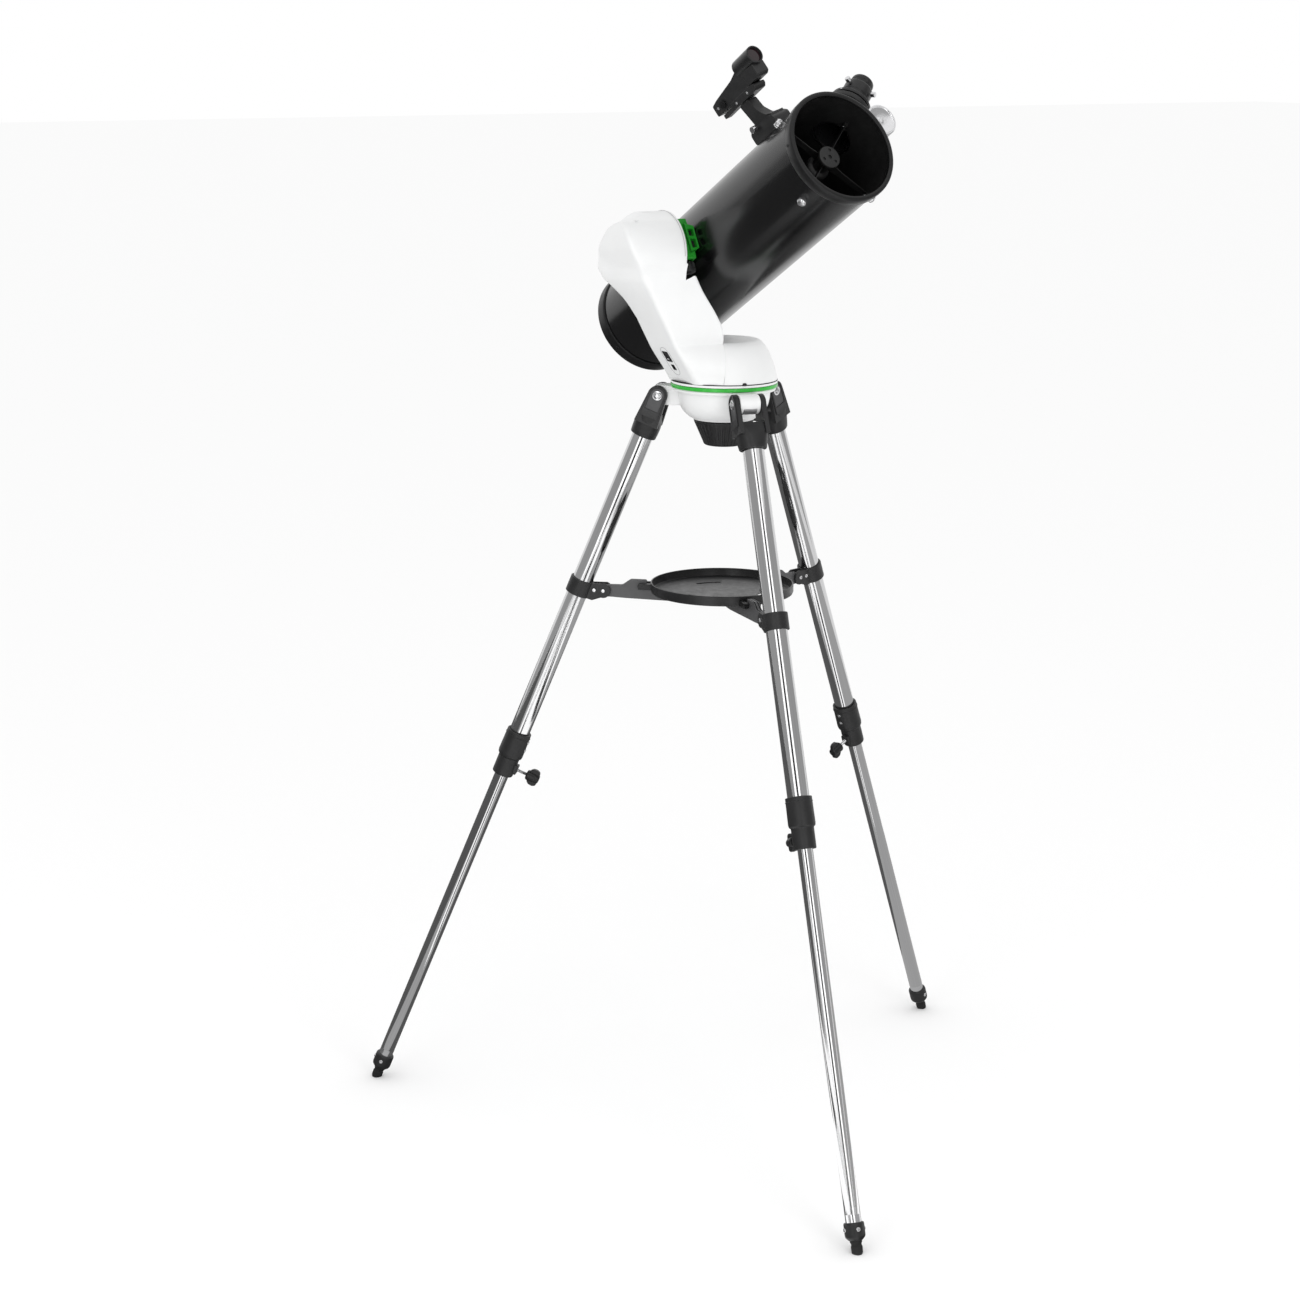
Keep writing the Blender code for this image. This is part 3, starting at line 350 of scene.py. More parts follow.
TO_X = Matrix(((0, 0, 1), (1, 0, 0), (0, 1, 0)))      # Z goes to X, X to Y, Y to Z
TO_Y = Matrix(((1, 0, 0), (0, 0, -1), (0, 1, 0)))     # Y goes to Z, Z to -Y
UPSIDE = Matrix(((1, 0, 0), (0, -1, 0), (0, 0, -1)))  # Z goes to -Z
BACK_X = TO_X @ UPSIDE                                # Z goes to -X
SWAP = Matrix(((1, 0, 0), (0, 0, 1), (0, 1, 0)))      # Y and Z change places


def about_z(degrees):
    """A turn about Z."""
    return Matrix.Rotation(math.radians(degrees), 3, "Z")


def slab(outline, low, high):
    """An (x, z) outline extruded along -Y."""
    return moved(prism(outline, low, high), rotation=TO_Y)


def cheeks(outline, inner, outer):
    """The same (x, z) outline as two slabs, one each side of the middle plane."""
    return [slab(outline, *sorted((side * inner, side * outer))) for side in (-1, 1)]


def on_side(bm, x, y, z):
    """A screw on the side that y is on, its head outwards."""
    return moved(bm, (x, y, z), TO_Y if y < 0 else TO_Y.inverted())


def sliced(bm, point, normal):
    """The mesh without what lies beyond a plane, closed there."""
    cut = bmesh.ops.bisect_plane(bm, geom=bm.verts[:] + bm.edges[:] + bm.faces[:],
                                 plane_co=point, plane_no=normal, clear_outer=True)
    rim = [item for item in cut["geom_cut"] if isinstance(item, bmesh.types.BMEdge)]
    bmesh.ops.contextual_create(bm, geom=rim)
    return bm


def together(*parts):
    """Several meshes as one."""
    whole = bmesh.new()
    for part in parts:
        mesh = bpy.data.meshes.new("part")
        part.to_mesh(mesh)
        part.free()
        whole.from_mesh(mesh)
        bpy.data.meshes.remove(mesh)
    return whole


def object_from(bm, name):
    """A loose object from a mesh."""
    mesh = bpy.data.meshes.new(name)
    bm.to_mesh(mesh)
    bm.free()
    obj = bpy.data.objects.new(name, mesh)
    scene.collection.objects.link(obj)
    return obj


def bake(obj):
    """Apply an object's modifiers to its mesh."""
    bpy.context.view_layer.update()
    graph = bpy.context.evaluated_depsgraph_get()
    mesh = bpy.data.meshes.new_from_object(obj.evaluated_get(graph))
    obj.modifiers.clear()
    obj.data = mesh


def combined(bm, tools):
    """Cut meshes out of a mesh."""
    obj = object_from(bm, "solid")
    cutters = [object_from(tool, "tool") for tool in tools]
    for cutter in cutters:
        modifier = obj.modifiers.new("Cut", "BOOLEAN")
        modifier.operation = "DIFFERENCE"
        modifier.solver = "EXACT"
        modifier.object = cutter
    bake(obj)
    result = bmesh.new()
    result.from_mesh(obj.data)
    for item in [obj, *cutters]:
        bpy.data.objects.remove(item, do_unlink=True)
    bmesh.ops.remove_doubles(result, verts=result.verts, dist=1e-6)
    return result


def piece(name, bm, at, finish, body, bevel=0.0, replaces=(), angle=32, segments=2):
    """A finished piece: placed, smoothed, bevelled, coloured and riding on its body. The
    outermost pieces hold their points in world axes, which keeps the object's box exact."""
    if name.startswith(("foot", "finder", "eyepiece")):
        bm.transform(at)
        at = Matrix.Identity(4)
    obj = object_from(bm, name)
    obj.matrix_world = at
    obj.data.materials.append(LOOKS[finish])
    obj.data.shade_smooth()
    if bevel:
        edge = obj.modifiers.new("Bevel", "BEVEL")
        edge.width = bevel
        edge.segments = segments
        edge.limit_method = "ANGLE"
        edge.angle_limit = math.radians(angle)
        weights = obj.modifiers.new("Normals", "WEIGHTED_NORMAL")
        weights.keep_sharp = False
        bake(obj)
    else:
        obj.data.set_sharp_from_angle(angle=math.radians(angle))
    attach(obj, body)
    if replaces:
        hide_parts(*replaces)
    return obj


def second_finish(obj, finish, chosen):
    """Give the faces that chosen picks another finish."""
    obj.data.materials.append(LOOKS[finish])
    index = len(obj.data.materials) - 1
    for face in obj.data.polygons:
        if chosen(face):
            face.material_index = index


def cap_screw(radius, height, socket=0.5):
    """A domed screw head with a hexagonal socket, its foot at z = 0."""
    rim = [(0, 0), (radius, 0)] + bezier((radius, height * 0.45), (radius, height * 0.85),
                                         (radius * 0.9, height), (radius * 0.7, height), 5)
    head = lathe(rim + [(radius * 0.3, height), (0, height)], 24)
    hexagon = [tuple(polar(radius * socket, 60 * k))[:2] for k in range(6)]
    return combined(head, [prism(hexagon, height * 0.35, height * 2)])


def washer_bolt(washer, radius, height):
    """A washer with a domed rivet head on it."""
    rim = [(0, 0), (washer, 0), (washer, 0.0008), (radius * 1.15, 0.0010),
           (radius, 0.0014)]
    dome = bezier((radius, height * 0.6), (radius, height), (radius * 0.6, height * 1.1),
                  (radius * 0.45, height * 1.1), 4)
    return lathe(rim + dome + [(radius * 0.4, height * 0.8), (0, height * 0.8)], 32)


# ---- tripod head ----
HEAD_TOP_Z = 1.1408
LUG_R = 0.0145
LUG_HALF = 0.0160


def build_head():
    """White bowl, its three lugs, the green ring and the ribbed clamp knob."""
    bowl = [(0, HEAD_TOP_Z - 0.0002), (0.0764, HEAD_TOP_Z - 0.0002), (0.0772, 1.1392),
            (0.0769, 1.1370), (0.0757, 1.1356), (0.0702, 1.1350), (0.0690, 1.1343)]
    bowl += bezier((0.0686, 1.1330), (0.0686, 1.1180), (0.0650, 1.1050),
                   (0.0510, 1.0958), 14)
    bowl += [(0.0462, 1.0932), (0.0454, 1.0922), (0.0442, 1.0920), (0, 1.0920)]
    piece("head_bowl", lathe(bowl, 128), GROUND, "white_shell", "tripod_head",
          replaces=("tripod_head",))
    side = soften([(-0.0400, -LUG_R)] + arc(0, 0, LUG_R, -90, 90, 20)
                  + [(-0.0400, LUG_R)], 0.0005)
    for i, leg in enumerate(LEGS):
        at = leg_upright(i, (leg.translation - AXIS).xy.length, leg.translation.z)
        piece(f"head_lug_{i + 1}", slab(side, -LUG_HALF, LUG_HALF), at,
              "white_shell", "tripod_head", bevel=0.0014, segments=3)
        strap = [(-0.0300, -LUG_R - 0.0004)] + arc(0, 0, LUG_R + 0.0004, -90, -20, 12)
        strap += arc(0, 0, LUG_R - 0.0010, -20, -90, 12) + [(-0.0300, -LUG_R + 0.0010)]
        piece(f"lug_strap_{i + 1}", slab(strap, -0.0105, 0.0105), at, "matt_steel",
              "tripod_head", bevel=0.0003)

    band = hoop(0.0650, 0.0796, 1.1412, 1.1464, 0.0007, 160)
    piece("green_band", band, GROUND, "green_gloss", "tripod_head",
          replaces=("accent_ring",))

    grip = [(0, 1.0905), (0.0440, 1.0905), (0.0447, 1.0898), (0.0443, 1.0885)]
    grip += [(0.0443 - 0.0135 * k / 6, 1.0885 - 0.0305 * k / 6) for k in range(1, 7)]
    grip += bezier((0.0302, 1.0562), (0.0292, 1.0540), (0.0275, 1.0530), (0.0250, 1.0530), 6)
    grip += [(0.0235, 1.0535), (0.0228, 1.0552), (0.0120, 1.0552), (0.0110, 1.0540),
             (0, 1.0540)]
    knob = lathe(grip, 288, ribs=36, depth=0.0011, ribbed=(1.0555, 1.0880))
    piece("ribbed_knob", knob, GROUND, "black_moulding", "clamp_knob",
          replaces=("clamp_knob",), angle=25)


# ---- legs ----
YOKE_HALF = 0.0245
YOKE_EAR_R = 0.0148
UPPER_R = 0.015875
UPPER_TOP = 0.0368
UPPER_END = 0.6040
LOWER_R = 0.0111
LOWER_BORE = 0.0100
STUB_TOP = 1.1640
LOWER_END = 1.1890
CLAMP_TOP = 0.5768
CLAMP_STEP = 0.6187
CLAMP_END = 0.6517
WING_AT = 0.6370
COLLAR_AT = 0.3228
COLLAR_HALF = 0.0125
STRUT_PIN = (0.0364, 0.3128)
FOOT_END = 1.2177


def oval(half_x, half_y, z, power=2.6, sides=64):
    """A rounded box section, as a superellipse."""
    ring = []
    for i in range(sides):
        angle = 2 * math.pi * i / sides
        c, s = math.cos(angle), math.sin(angle)
        ring.append((half_x * math.copysign(abs(c) ** (2 / power), c),
                     half_y * math.copysign(abs(s) ** (2 / power), s), z))
    return ring


def build_yoke(i, at, body):
    """Moulded fork: barrel, two ears with raised rims round grey panels, and its bolt."""
    levels = ((0.0300, 0.0148, 0.0243, 4.5), (0.0360, 0.0165, 0.0243, 4.0),
              (0.0430, 0.0192, 0.0236, 3.2), (0.0500, 0.0204, 0.0226, 2.6),
              (0.0600, 0.0203, 0.0214, 2.3), (0.0665, 0.0199, 0.0205, 2.1),
              (0.0678, 0.0192, 0.0198, 2.0))
    barrel = skin([oval(x, y, z, p) for z, x, y, p in levels], caps=True)
    socket = rod(UPPER_R + GAP, 0.0380, 0.0900, 48)
    mouth = moved(rod(0.0190, -0.0162, 0.0162, 48), (0, 0, 0.0150), TO_Y)
    ear = [(0.0186, 0.0470), (-0.0186, 0.0470)] + arc(0, 0, YOKE_EAR_R, 180, 360, 28)
    rim_out, rim_in, panel = [
        [(half, z), (-half, z)] + arc(0, 0, half, 180, 360, 24)
        for half, z in ((0.0132, 0.0350), (0.0106, 0.0240), (0.0104, 0.0238))]
    rims = [combined(rim, [slab(rim_in, -0.1, 0.1)])
            for rim in cheeks(rim_out, YOKE_HALF - 0.0020, YOKE_HALF)]
    fork = together(combined(barrel, [socket, mouth]),
                    *cheeks(ear, LUG_HALF + 0.0006, YOKE_HALF - 0.0012), *rims)
    piece(f"yoke_{i}", fork, at, "black_moulding", body, bevel=0.0009,
          replaces=(f"leg_yoke_{i}",), angle=40)
    panels = cheeks(panel, YOKE_HALF - 0.0026, YOKE_HALF - 0.0011)
    piece(f"yoke_panels_{i}", together(*panels), at, "panel_grey", body, bevel=0.0003)

    shank = moved(rod(0.0030, -0.0235, 0.0235, 20), rotation=TO_Y)
    ends = [on_side(washer_bolt(0.0070, 0.0042, 0.0030), 0, side * (YOKE_HALF - 0.0012), 0)
            for side in (-1, 1)]
    piece(f"yoke_bolt_{i}", together(shank, *ends), at, "bright_steel", body,
          replaces=(f"pivot_bolt_{i}",))


def build_collar(i, at, body):
    """Clamp band with a bracket of two cheeks, its closing bolt and its pivot bolt."""
    low, high = COLLAR_AT - COLLAR_HALF, COLLAR_AT + COLLAR_HALF
    band = hoop(UPPER_R + 0.0001, 0.0190, low, high, 0.0008, 64)
    cheek = [(0.0140, low + 0.0004)] + arc(*STRUT_PIN, 0.0113, -95, 85, 20)
    cheek += [(0.0260, high - 0.0015), (0.0140, high - 0.0004)]
    bridge = box((0.0150, -0.0060, high - 0.0050), (0.0210, 0.0060, high - 0.0008))
    piece(f"collar_{i}", together(band, *cheeks(cheek, 0.0055, 0.0091), bridge), at,
          "black_moulding", body, bevel=0.0007, replaces=(f"brace_collar_{i}",), angle=40)
    bolts = [on_side(cap_screw(0.0030, 0.0018), x, y, z)
             for x, z in ((0.0232, 0.3175), STRUT_PIN) for y in (-0.0090, 0.0090)]
    piece(f"collar_bolts_{i}", together(*bolts), at, "bright_steel", body)


def build_clamp(i, at, body):
    """Stepped sleeve with a bead, the ribbed boss of its screw, and two rivets."""
    sleeve = soften([(UPPER_R + 0.0001, CLAMP_TOP), (0.0193, CLAMP_TOP),
                     (0.0198, CLAMP_STEP - 0.004), (0.0192, CLAMP_STEP),
                     (0.0167, CLAMP_STEP + 0.0022), (0.0166, CLAMP_END - 0.0015),
                     (0.0160, CLAMP_END), (LOWER_R + 0.0002, CLAMP_END),
                     (LOWER_R + 0.0002, UPPER_END + GAP),
                     (UPPER_R + 0.0001, UPPER_END + GAP)], 0.0009, closed=True)
    boss = moved(prism(plate(0.0068, 0.0078, 0.0022, 4), 0.0120, 0.0200),
                 (0, 0, WING_AT), TO_X)
    fins = [box((0.0140, -0.0062, z - 0.0006), (0.0205, 0.0062, z + 0.0006))
            for z in (WING_AT - 0.0048, WING_AT + 0.0048)]
    bead_ring = lathe([(0.0190, CLAMP_TOP + 0.0060), (0.0201, CLAMP_TOP + 0.0062),
                       (0.0201, CLAMP_TOP + 0.0072), (0.0190, CLAMP_TOP + 0.0074)], 72,
                      closed=True)
    parts = together(lathe(sleeve, 72, closed=True), boss, *fins, bead_ring)
    piece(f"clamp_sleeve_{i}", parts, at, "black_moulding", body, bevel=0.0004,
          replaces=(f"leg_clamp_{i}",), angle=45)
    rivets = [moved(cap_screw(0.0027, 0.0014, 0.35), (0.0192, 0, CLAMP_TOP + down), TO_X)
              for down in (0.0120, 0.0260)]
    piece(f"clamp_rivets_{i}", together(*rivets), at, "bright_steel", body)


def build_wing_screw(i, at):
    """Threaded steel screw and a moulded grip with two swept wings."""
    body = f"wing_screw_{i}"
    at = at @ Matrix.Translation((0, 0, WING_AT))
    thread = [(0.0026 if k % 2 else 0.0021, 0.0121 + k * 0.00078) for k in range(33)]
    shaft = lathe([(0, 0.0121)] + thread + [(0.0024, 0.0380), (0, 0.0380)], 24)
    piece(f"clamp_screw_{i}", moved(shaft, rotation=TO_X), at, "bright_steel", body)
    hub = soften([(0, 0.0572), (0.0062, 0.0568), (0.0078, 0.0500), (0.0082, 0.0375),
                  (0.0064, 0.0358), (0, 0.0358)], 0.0012)
    wing = soften([(0.0030, 0.0385), (0.0098, 0.0400), (0.0131, 0.0440), (0.0136, 0.0505),
                   (0.0112, 0.0552), (0.0060, 0.0562), (0.0020, 0.0550)], 0.0018,
                  closed=True)
    wings = [moved(prism([(x, side * z) for z, x in wing], -0.0034, 0.0034), rotation=SWAP)
             for side in (-1, 1)]
    grip = together(moved(lathe(hub, 36), rotation=TO_X), *wings)
    piece(f"wing_grip_{i}", grip, at, "black_smooth", body, bevel=0.0011,
          replaces=(f"wing_screw_{i}",), angle=38, segments=3)


def build_foot(i, at):
    """Cap on the lower tube, its screws, and the rubber tip cut off at the floor."""
    body = f"lower_leg_{i}"
    top = FOOT_END - 0.0430
    cap = above(top, (LOWER_R + 0.0001, 0), (0.0138, 0), (0.0146, 0.0020),
                (0.0146, 0.0180), (0.0140, 0.0205), (0.0098, 0.0250), (0, 0.0255),
                (0, 0.0150), (LOWER_R + 0.0001, 0.0150))
    piece(f"foot_cap_{i}", lathe(soften(cap, 0.0010), 56, closed=True), at,
          "black_moulding", body, replaces=(f"foot_{i}",), angle=40)
    tip = above(top, (0, 0.0235), (0.0090, 0.0235), (0.0086, 0.0275), (0.0074, 0.0295),
                (0.0074, 0.0315), (0.0084, 0.0330))
    tip += above(FOOT_END, (0.0080, -0.0010), (0.0068, 0.0010), (0.0055, 0.0040),
                 (0, 0.0050))
    level = at.inverted() @ Vector((at.translation.x, at.translation.y, 0.0002))
    down = at.to_3x3().inverted() @ Vector((0, 0, -1))
    rubber = sliced(lathe(soften(tip, 0.0008), 48), level, down.normalized())
    piece(f"foot_tip_{i}", rubber, at, "rubber", body, angle=40)
    screws = [on_side(cap_screw(0.0031, 0.0016), 0, y, top + 0.0095)
              for y in (0.0142, -0.0142)]
    screws.append(moved(cap_screw(0.0031, 0.0016), (-0.0142, 0, top + 0.0095), BACK_X))
    piece(f"foot_screws_{i}", together(*screws), at, "bright_steel", body)


def build_legs():
    """The three legs, each with its steel tubes and fittings."""
    for i, at in enumerate(LEGS, start=1):
        body, low_body = f"leg_{i}", f"lower_leg_{i}"
        build_yoke(i, at, body)
        tube = hoop(0.0147, UPPER_R, UPPER_TOP, UPPER_END, 0.0003, 96, steps=2)
        piece(f"upper_tube_{i}", tube, at, "leg_steel", body,
              replaces=(f"upper_leg_{i}",), angle=50)
        build_collar(i, at, body)
        build_clamp(i, at, body)
        build_wing_screw(i, at)
        tube = soften([(LOWER_BORE, 0.5350), (0.0143, 0.5350), (0.0143, 0.5600),
                       (LOWER_R, 0.5602), (LOWER_R, STUB_TOP), (LOWER_BORE, STUB_TOP)],
                      0.0003, closed=True, steps=2)
        piece(f"lower_tube_{i}", lathe(tube, 80, closed=True), at, "leg_steel", low_body,
              replaces=(low_body,), angle=50)
        stub = [(LOWER_BORE, STUB_TOP - GAP), (LOWER_R, STUB_TOP - GAP),
                (LOWER_R, LOWER_END), (LOWER_BORE, LOWER_END)]
        piece(f"foot_stub_{i}", lathe(stub, 80, closed=True), at, "bright_steel",
              low_body, angle=50)
        build_foot(i, at)


# ---- spreader and tray ----
BRACE_Z = 0.8230
TRAY_R = 0.1080
TRAY_Z = 0.8275
SLOT_R = 0.0605
SLOT_HALF = 0.0035
SLOT_REACH = 16


def build_spreader():
    """Forked hub and three struts, each a web between two pressed flanges."""
    hub = soften([(0, BRACE_Z + 0.0040), (0.0150, BRACE_Z + 0.0040),
                  (0.0160, BRACE_Z - 0.0110), (0, BRACE_Z - 0.0120)], 0.0010)
    parts = [lathe(hub, 48)]
    fork = soften([(0.0100, -0.0105), (0.0310, -0.0105), (0.0325, 0.0), (0.0310, 0.0040),
                   (0.0100, 0.0040)], 0.003, closed=True)
    for turn in LEG_TURNS:
        parts += [moved(cheek, (0, 0, BRACE_Z), about_z(turn))
                  for cheek in cheeks(fork, 0.0050, 0.0080)]
    piece("spreader_hub", together(*parts), GROUND, "black_moulding", "brace_hub",
          bevel=0.0005, replaces=("brace_hub",), angle=40)

    side = arc(0.0260, BRACE_Z, 0.0040, 90, 250, 12)
    side += [(0.0300, 0.8110), (0.0450, 0.8100), (0.1500, 0.8125), (0.1800, 0.8140),
             (0.1868, 0.8175), (0.1868, 0.8285), (0.1790, 0.8315), (0.1540, 0.8320),
             (0.1410, 0.8412), (0.1165, 0.8412), (0.1135, BRACE_Z + 0.0036)]
    side = soften(side, 0.0022)
    lip = soften([(0.0300, 0.8106), (0.1800, 0.8136), (0.1800, 0.8152), (0.0300, 0.8122)],
                 0.0004, closed=True)
    for i in range(3):
        strut = together(slab(side, -0.0016, 0.0016), *cheeks(side, 0.0031, 0.0045),
                         slab(lip, -0.0044, 0.0044))
        piece(f"strut_{i + 1}", strut, leg_upright(i, 0, 0), "strut_coat",
              f"brace_strut_{i + 1}", bevel=0.0004, replaces=(f"brace_strut_{i + 1}",),
              angle=40)


def build_tray():
    """Round tray with crescent slots, and the tabs that hold it on the struts."""
    dish = [(0, TRAY_Z + 0.0022), (0.0880, TRAY_Z + 0.0022), (0.0905, TRAY_Z + 0.0030),
            (TRAY_R - 0.0060, TRAY_Z + 0.0030), (TRAY_R - 0.0036, TRAY_Z + 0.0042),
            (TRAY_R - 0.0022, TRAY_Z + 0.0120), (TRAY_R - 0.0020, 0.8424),
            (TRAY_R - 0.0010, 0.8430), (TRAY_R, 0.8424), (TRAY_R, TRAY_Z + 0.0040),
            (TRAY_R - 0.0012, TRAY_Z + 0.0008), (TRAY_R - 0.0050, TRAY_Z), (0, TRAY_Z)]
    tab = soften([(TRAY_R - 0.0012, TRAY_Z + 0.0004), (0.1272, TRAY_Z + 0.0004),
                  (0.1278, 0.8352), (0.1262, 0.8368), (TRAY_R - 0.0012, 0.8372)],
                 0.0012, closed=True)
    slots, tabs = [], []
    for turn in LEG_TURNS:
        low, high = turn + 60 - SLOT_REACH, turn + 60 + SLOT_REACH
        slot = arc(0, 0, SLOT_R + SLOT_HALF, low, high, 12)
        slot += arc(*polar(SLOT_R, high).xy, SLOT_HALF, high, high + 180, 8)
        slot += arc(0, 0, SLOT_R - SLOT_HALF, high, low, 12)
        slot += arc(*polar(SLOT_R, low).xy, SLOT_HALF, low + 180, low + 360, 8)
        slots.append(prism(slot, TRAY_Z - 0.01, TRAY_Z + 0.01))
        tabs += [moved(half, rotation=about_z(turn)) for half in cheeks(tab, 0.0058, 0.0135)]
    piece("tray_dish", combined(lathe(dish, 160), slots), GROUND, "tray_gloss",
          "accessory_tray", replaces=("accessory_tray",), angle=30)
    piece("tray_tabs", together(*tabs), GROUND, "black_smooth", "accessory_tray",
          bevel=0.0007, angle=40)


# ---- mount ----
COVER_Z = 1.1512
COVER_TOP_Z = 1.2110
COVER_EDGE_Z = 1.2092
SEAM_FOOT_X = -0.0440
SEAM_SLOPE = math.atan2(0.0128, 0.0593)
HEAD_FACE_X = -0.1030
HEAD_R = 0.0610
OUTER_R = 0.0475
RECESS_R = 0.0640
TOP_Z = PIVOT_Z + HEAD_R


def seam_x(z):
    """Where the leaning seam plane stands at a height."""
    return SEAM_FOOT_X + (z - COVER_Z) * math.tan(SEAM_SLOPE)


def smooth_read(rows, value):
    """Smooth reading of (key, result) rows, level at each local extreme."""
    keys = [row[0] for row in rows]
    if value <= keys[0]:
        return rows[0][1]
    if value >= keys[-1]:
        return rows[-1][1]
    slopes = [(b[1] - a[1]) / (b[0] - a[0]) for a, b in zip(rows, rows[1:])]
    ends = [slopes[0]]
    for a, b in zip(slopes, slopes[1:]):
        ends.append(0.0 if a * b <= 0 else 2 * a * b / (a + b))
    ends.append(slopes[-1])
    for i, (a, b) in enumerate(zip(rows, rows[1:])):
        if value <= b[0]:
            h = b[0] - a[0]
            f = (value - a[0]) / h
            return ((1 + 2 * f) * (1 - f) ** 2 * a[1] + f * (1 - f) ** 2 * h * ends[i]
                    + f * f * (3 - 2 * f) * b[1] + f * f * (f - 1) * h * ends[i + 1])


DOME_ROWS = ((COVER_Z, 0.0790), (1.1550, 0.0786), (1.1600, 0.0776), (1.1690, 0.0752),
             (1.1800, 0.0715), (1.1900, 0.0672), (1.1985, 0.0625), (1.2060, 0.0570),
             (COVER_EDGE_Z, 0.0530))
OUTER_ROWS = ((COVER_Z, -0.0740), (1.1690, -0.0850), (1.2000, -0.1060), (1.2150, -0.1145),
              (1.3150, -0.1675), (1.3550, -0.1894), (1.3700, -0.1912), (1.3850, -0.1850),
              (1.3950, -0.1720), (TOP_Z, -0.1560))
FRONT_ROWS = ((COVER_Z, seam_x(COVER_Z) - GAP), (COVER_EDGE_Z, seam_x(COVER_EDGE_Z) - GAP),
              (1.2250, -0.0350), (1.2510, -0.0480), (1.2880, -0.0730), (1.3270, -0.0965),
              (1.3310, HEAD_FACE_X), (TOP_Z, HEAD_FACE_X))
REAR_ROWS = (FRONT_ROWS[0], (1.2000, -0.0350), (1.2250, -0.0560), (1.2510, -0.0750),
             (1.2880, -0.0870)) + FRONT_ROWS[-3:]
INNER_HALF_ROWS = ((COVER_EDGE_Z, 0.0445), (1.2250, 0.0540), (1.2450, 0.0580),
                   (TOP_Z, 0.0580))
OUTER_HALF_ROWS = ((COVER_Z, 0.0360), (1.2000, 0.0400), (TOP_Z, 0.0400))
SWELL_ROWS = ((1.2450, 0.0), (1.2700, 0.0057), (1.2950, 0.0189), (1.3060, 0.0260),
              (1.3170, 0.0265), (1.3350, 0.0114), (1.3550, 0.0013), (1.3700, -0.0045),
              (1.3990, 0.0))


def bulge(radius, z, half):
    """Half width of the round head at a height, or the arm's own below it."""
    reach = math.sqrt(max(radius ** 2 - (z - PIVOT_Z) ** 2, 0.0))
    return reach if z > PIVOT_Z else max(half, reach)


def arm_ring(z):
    """The arm's section at a height, with round corners."""
    if z < COVER_EDGE_Z:
        inner = math.sqrt(smooth_read(DOME_ROWS, z) ** 2 - seam_x(z) ** 2)
    else:
        inner = smooth_read(INNER_HALF_ROWS, z)
    inner = max(bulge(HEAD_R, z, inner), 0.004)
    outer_half = max(bulge(OUTER_R, z, smooth_read(OUTER_HALF_ROWS, z)), 0.003)
    outer = outer_x(z)
    crease = 0.0075 + 0.35 * max(z - 1.38, 0.0)
    front_round = min(0.0008 + 0.35 * max(z - COVER_EDGE_Z, 0.0), 0.0060)
    corners = [(smooth_read(FRONT_ROWS, z), -inner), (smooth_read(REAR_ROWS, z), inner),
               (outer - smooth_read(SWELL_ROWS, z), outer_half), (outer, -outer_half)]
    radii = (front_round, front_round, crease, crease)
    return [(x, y, z) for i in range(4)
            for x, y in round_corner(corners[i - 1], corners[i], corners[(i + 1) % 4],
                                     radii[i], 7)]


def outer_x(z):
    """The arm's outer face at a height."""
    return smooth_read(OUTER_ROWS, z)


def face_frame(z):
    """A frame on the arm's outer face: Z out of it, X up it, Y across."""
    slope = Vector((outer_x(z + 0.004) - outer_x(z - 0.004), 0, 0.008)).normalized()
    out = slope.cross(Vector((0, 1, 0)))
    if out.x > 0:
        out.negate()
    return frame_at(Vector((AXIS.x + outer_x(z), AXIS.y, z)), slope, out)


SWITCH_Z = 1.1905
SOCKET_Z = 1.1740


def evenly(low, high, count):
    """Heights from low up to high, without low itself."""
    return [low + (high - low) * k / count for k in range(1, count + 1)]


def bead(points, radius, sides=8, closed=True):
    """A thin round line along points."""
    rings = []
    last = len(points) - 1
    for i, point in enumerate(points):
        if closed:
            ahead = points[(i + 1) % len(points)] - points[i - 1]
        else:
            ahead = points[min(i + 1, last)] - points[max(i - 1, 0)]
        along = ahead.normalized()
        across = along.cross(Vector((1, 0, 0.1))).normalized()
        turned = Matrix((across, along.cross(across), along)).transposed()
        rings.append([point + turned @ polar(radius, 360 * k / sides)
                      for k in range(sides)])
    return skin(rings, closed=closed, caps=not closed)


def build_cover():
    """Turntable, a black ring that paints in the shade of the gap above it, the domed cover and
    a stud.
    """
    plate_ring = hoop(0.0103, 0.0793, 1.1470, 1.1505, 0.0005, 160)
    piece("turntable_rim", plate_ring, GROUND, "white_shell", "turntable",
          replaces=("turntable_plate",))
    # A flat black ring, a little proud of the cover's edge, painted in as the shade of the gap
    # between turntable and cover.
    dark = [(0.0650, 1.1500), (0.07935, 1.1504), (0.07935, 1.1518), (0.0650, 1.1520)]
    piece("bearing_gap_shade", lathe(dark, 128, closed=True), GROUND, "flat_black", "turntable")

    crown = [(0, COVER_TOP_Z), (0.0440, COVER_TOP_Z)]
    crown += bezier((0.0462, COVER_TOP_Z), (0.0490, COVER_TOP_Z), (0.0510, 1.2104),
                    (0.0530, COVER_EDGE_Z), 6)[:-1]
    heights = [COVER_Z] + evenly(COVER_Z, COVER_EDGE_Z, 24)
    flank = [(smooth_read(DOME_ROWS, z), z) for z in reversed(heights)]
    dome = sliced(lathe(crown + flank + [(0, COVER_Z)], 160),
                  Vector((seam_x(COVER_Z) + GAP, 0, COVER_Z)),
                  Vector((-math.cos(SEAM_SLOPE), 0, math.sin(SEAM_SLOPE))))
    piece("base_dome", dome, GROUND, "white_shell", "turntable", bevel=0.0005,
          replaces=("base_cover",), angle=50)
    stud = lathe([(0, 0.0042), (0.0018, 0.0040), (0.0034, 0.0030), (0.0042, 0.0012),
                  (0.0044, 0), (0, 0)], 32)
    piece("index_stud", stud, GROUND @ Matrix.Translation(polar(0.0770, -101, 1.1508)),
          "black_smooth", "turntable")


